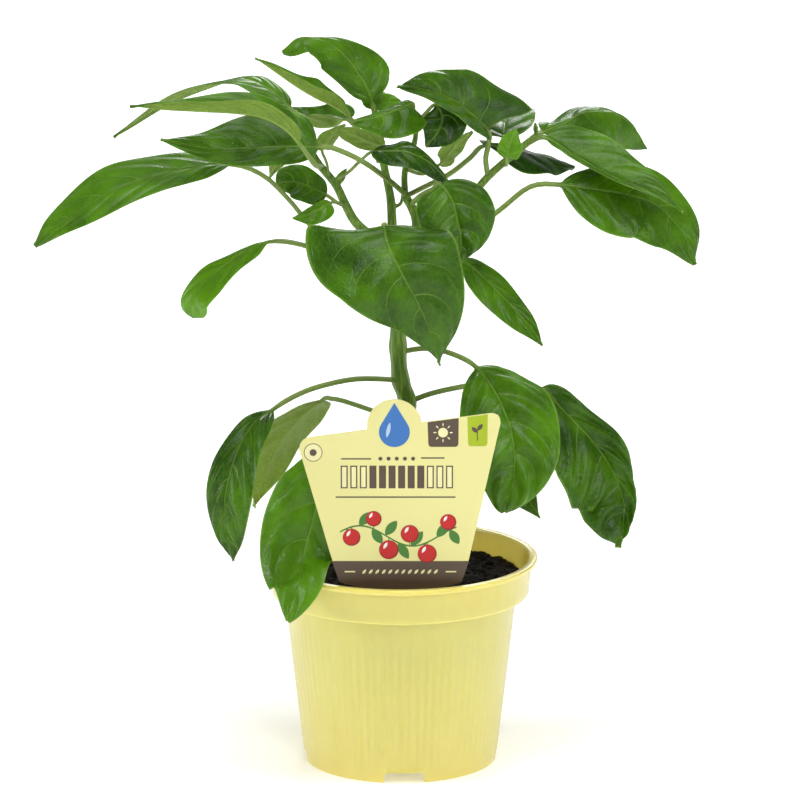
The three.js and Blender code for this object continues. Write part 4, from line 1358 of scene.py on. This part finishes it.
def tag_outline():
    t = TAG
    climb = math.atan(t["slope"])
    rise = math.asin((t["top"] - t["lobe_z"]) / t["lobe_radius"] * math.cos(climb))
    left, right, corner = t["left"], t["right"], t["corner"]
    neck = t["stake_half"] * 0.7
    left_side = [
        (0, t["stake_tip"]), (-neck, t["stake_neck"]), (-t["stake_half"], t["stake_shoulder"]),
        (-t["foot_half"], t["band_foot"]), (-t["band_half"], t["band_top"]),
    ]
    right_side = [(-x, z) for x, z in reversed(left_side[1:])]
    return [
        *map(Vector, left_side),
        *turn_corner(
            (left, tag_top(left) - corner), (left, tag_top(left)),
            (left + corner, tag_top(left + corner)),
        ),
        *arc(t["lobe_x"], t["lobe_z"], t["lobe_radius"], math.pi - rise + climb, rise + climb, 28),
        *turn_corner(
            (right - corner, tag_top(right - corner)), (right, tag_top(right)),
            (right, tag_top(right) - corner),
        ),
        *map(Vector, right_side),
    ]


# %% [markdown]
# The print isn't an image. Each printed shape is a very thin piece of its own colour that
# stands a few hundredths of a millimetre proud of the plate, as screen print does. The
# outline of a shape becomes one face, which is extruded.


# %% Flat shapes
def add_flat(bm, outline_points, front, thickness, slot=0):
    """A flat shape in the label's plane, from its front face back by the thickness."""
    verts = [bm.verts.new((p[0] * MM, front * MM, p[1] * MM)) for p in outline_points]
    face = bm.faces.new(verts)
    face.material_index = slot
    made = bmesh.ops.extrude_face_region(bm, geom=[face])
    back = [g for g in made["geom"] if isinstance(g, bmesh.types.BMVert)]
    bmesh.ops.translate(bm, verts=back, vec=(0, thickness * MM, 0))
    for side in {f for v in back for f in v.link_faces}:
        side.material_index = slot


def label_mesh():
    bm = bmesh.new()
    front = TAG["plane"] - TAG["thickness"] / 2
    add_flat(bm, tag_outline(), front, TAG["thickness"])
    bmesh.ops.recalc_face_normals(bm, faces=bm.faces)
    rim = [e for e in bm.edges if len(e.link_faces) == 2 and e.calc_face_angle(0) > 1.2]
    bmesh.ops.bevel(
        bm, geom=rim, offset=0.15 * MM, segments=2, profile=0.5, affect="EDGES", material=-1
    )
    return finished_mesh("label_plate", bm, smooth=False)


# %% Finish of the label
def print_finish(name, tint):
    """Printing ink of one colour, with the faint mottle that ink has."""
    material, tree, shader = new_finish(name, Roughness=0.45)
    place = object_place(tree)
    mottle = clouds(tree, place, 700.0)
    shade = tuple(c * 0.9 for c in tint[:3]) + (1,)
    tree.links.new(mix_colours(tree, mottle, shade, tint), shader.inputs["Base Color"])
    return material


def card_finish():
    """Cream plastic sheet with faint yellower patches."""
    material, tree, shader = new_finish("label_cream", Roughness=0.42, Coat_Weight=0.2)
    place = object_place(tree)
    patches = clouds(tree, place, 25.0)
    cream = mix_colours(tree, patches, colour(236, 230, 147), colour(239, 234, 160))
    tree.links.new(cream, shader.inputs["Base Color"])
    relief(tree, shader, clouds(tree, place, 1200.0), 0.01 * MM)
    return material


label = place_piece("label_plate", label_mesh(), card_finish(), "label", "label")
print("label", round(label.dimensions.x / MM, 1), "mm wide")

# %% [markdown]
# ### What is printed on it
#
# The label carries a generic design: a water drop on the lobe, a brown tab with a sun and
# a green one with a seedling, a small ring, a strip of twelve months with the warm ones
# filled, a garland of red berries and green leaves, and a brown band with cream dashes.

# %% Print
INK_PROUD = 0.05  # mm
INKS = dict(
    brown=colour(92, 75, 60), green=colour(174, 196, 14), red=colour(205, 22, 20),
    leaf=colour(70, 130, 44), blue=colour(58, 122, 196), cream=colour(250, 245, 185),
    pale_blue=colour(190, 216, 242), dark_red=colour(140, 14, 14), white=colour(250, 250, 245),
)
INK_ORDER = list(INKS)
DISC_POINTS = 28
TABS = ((11.6, 24.9, 151.9, "brown"), (28.6, 37.3, 152.2, "green"))  # sides, foot and ink
DROP = dict(z=159.8, size=9.2)
SUN = dict(x=18.2, z=158.2, radius=2.1, rays=8, ray_start=2.7, ray_length=1.6, ray_width=0.28)
RING = dict(x=-37.4, z=149.4, outer=4.0, inner=3.7, dot=1.5)
MONTHS = dict(
    x=-25.6, foot=133.6, top=143.6, pitch=4.1, width=3.0, line=0.55, warm=range(3, 9)
)
BERRIES = (  # place along the twig, drop from it, radius
    (0.1, 4.6, 3.8), (0.29, -4.6, 3.4), (0.42, 5.4, 4.2), (0.6, -5.4, 3.9), (0.75, 5.0, 4.1),
    (0.93, -3.8, 3.5),
)


def ink(bm, outline_points, name, layer=1):
    """Prints a shape; a higher layer lies on a lower one."""
    front = TAG["plane"] - TAG["thickness"] / 2 - INK_PROUD * layer
    add_flat(bm, outline_points, front, INK_PROUD, INK_ORDER.index(name))


def bar(x0, z0, x1, z1):
    return [(x0, z0), (x1, z0), (x1, z1), (x0, z1)]


def disc(x, z, radius):
    return arc(x, z, radius, 0, 2 * math.pi * (1 - 1 / DISC_POINTS), DISC_POINTS - 1)


def spindle(x, z, length, width, angle, pieces=10):
    """A pointed leaf shape with its foot at x, z."""
    ahead = Vector((math.cos(angle), math.sin(angle)))
    side = Vector((-ahead.y, ahead.x))
    shares = [k / pieces for k in range(pieces + 1)]
    widths = [side * width * math.sin(math.pi * t) ** 0.8 for t in shares]
    upper = [ahead * length * t + w for t, w in zip(shares, widths)]
    lower = [ahead * length * t - w for t, w in zip(shares, widths)]
    return [Vector((x, z)) + p for p in upper + lower[-2:0:-1]]


def print_drop(bm, x, z, size):
    """A water drop with a glint."""
    tip = (x, z + size * 1.25)
    body = arc(x, z - size * 0.15, size * 0.72, math.radians(150), math.radians(390), 24)
    ink(bm, [tip, *body], "blue")
    glint = spindle(
        x - size * 0.36, z - size * 0.42, size * 0.75, size * 0.09, math.radians(78)
    )
    ink(bm, glint, "pale_blue", 2)


def print_tabs(bm):
    """Two tabs that hang from the top edge at the right, with a sun and a seedling."""
    bend = 1.6
    for x0, x1, foot, name in TABS:
        outline_points = [
            (x0, tag_top(x0) - 0.3),
            *turn_corner((x0 + 0.3, foot + bend), (x0 + 0.5, foot), (x0 + bend, foot)),
            *turn_corner((x1 - bend, foot), (x1 - 0.3, foot), (x1 - 0.1, foot + bend)),
            (x1, tag_top(x1) - 0.3),
        ]
        ink(bm, outline_points, name)
    ink(bm, disc(SUN["x"], SUN["z"], SUN["radius"]), "cream", 2)
    for k in range(SUN["rays"]):
        angle = k * 2 * math.pi / SUN["rays"]
        x = SUN["x"] + SUN["ray_start"] * math.cos(angle)
        z = SUN["z"] + SUN["ray_start"] * math.sin(angle)
        ink(bm, spindle(x, z, SUN["ray_length"], SUN["ray_width"], angle), "cream", 2)
    ink(bm, bar(32.7, 154.6, 33.1, 159.6), "brown", 2)
    ink(bm, spindle(32.9, 159.2, 3.6, 0.9, math.radians(50)), "brown", 2)
    ink(bm, spindle(32.9, 158.2, 3.4, 0.9, math.radians(135)), "brown", 2)


def print_ring(bm):
    """A thin ring with a dot in it."""
    for layer, (key, name) in enumerate((("outer", "brown"), ("inner", "cream"), ("dot", "brown"))):
        ink(bm, disc(RING["x"], RING["z"], RING[key]), name, layer + 1)


def print_months(bm):
    """Rules, and twelve upright boxes, of which the warm months are filled."""
    ink(bm, bar(-25.4, 146.3, -12.6, 146.9), "brown")
    ink(bm, bar(8.8, 146.7, 18.8, 147.3), "brown")
    for k in range(5):
        ink(bm, disc(-8.6 + 3.5 * k, 146.7, 0.85), "brown")
    ink(bm, bar(-27.8, 129.4, 23.6, 130.0), "brown")
    foot, top, width, line = (MONTHS[key] for key in ("foot", "top", "width", "line"))
    for month in range(12):
        x = MONTHS["x"] + MONTHS["pitch"] * month
        ink(bm, bar(x, foot, x + width, top), "brown")
        if month not in MONTHS["warm"]:
            ink(bm, bar(x + line, foot + line, x + width - line, top - line), "cream", 2)


def print_garland(bm):
    """A curved twig with leaves, and berries that hang from it."""
    def twig(t):
        return Vector((-26 + 50 * t, 112.5 + 4.5 * math.sin(math.pi * 2.2 * t + 0.4)))

    steps = [twig(k / 40) for k in range(41)]
    up = Vector((0, 0.35))
    ink(bm, [p + up for p in steps] + [p - up for p in reversed(steps)], "leaf")
    for k in range(9):
        t = (k + 0.5) / 9
        angle = math.radians(52 if k % 2 else -58)
        ink(bm, spindle(*twig(t), 8.5 - 2.5 * abs(t - 0.5), 2.0, angle), "leaf", 2)
    for t, drop, radius in BERRIES:
        centre = twig(t) - Vector((0, drop))
        low, high = sorted((centre.y, centre.y + drop))
        ink(bm, bar(centre.x - 0.2, low, centre.x + 0.2, high), "leaf")
        ink(bm, disc(*centre, radius), "dark_red", 3)
        ink(bm, disc(centre.x - 0.15, centre.y + 0.2, radius - 0.35), "red", 4)
        glint = spindle(
            centre.x - radius * 0.55, centre.y + radius * 0.1, radius * 0.8, radius * 0.16,
            math.radians(60),
        )
        ink(bm, glint, "white", 5)


def print_band(bm):
    """The brown band along the foot of the plate."""
    foot_half, band_half = TAG["foot_half"] + 0.1, TAG["band_half"] + 0.3
    foot, top = TAG["band_foot"] - 0.1, TAG["band_top"] + 0.3
    stake, shoulder = TAG["stake_half"], TAG["stake_shoulder"]
    right_side = [(stake, shoulder), (foot_half, foot), (band_half, top)]
    ink(bm, [(-x, z) for x, z in right_side[::-1]] + right_side, "brown")
    middle = (foot + top) / 2
    ink(bm, bar(-24, middle - 0.3, -19.5, middle + 0.3), "cream", 2)
    ink(bm, bar(19.5, middle - 0.3, 24, middle + 0.3), "cream", 2)
    for k in range(12):
        x = -15.4 + 2.8 * k
        ink(bm, spindle(x - 1, middle - 1, 2.6, 0.55, math.radians(50)), "cream", 2)


def print_mesh():
    bm = bmesh.new()
    print_drop(bm, TAG["lobe_x"], DROP["z"], DROP["size"])
    print_tabs(bm)
    print_ring(bm)
    print_months(bm)
    print_garland(bm)
    print_band(bm)
    return finished_mesh("label_print", bm, smooth=False)


print_piece = place_piece("label_print", print_mesh(), None, "label", "label")
for name in INK_ORDER:
    print_piece.data.materials.append(print_finish("ink_" + name, INKS[name]))
print("print faces", len(print_piece.data.polygons))

# %% [markdown]
# ## Sizes and finish
#
# The box of the solids and the box of the dressed plant are both printed. The dressed plant
# has to stay inside the box of its solids.

# %% Sizes and the end
dressed_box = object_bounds()
for name, (low, high) in (("solids", cad_box), ("dressed", dressed_box)):
    print(name, [round(v / MM, 1) for v in (*low, *high)], "mm")
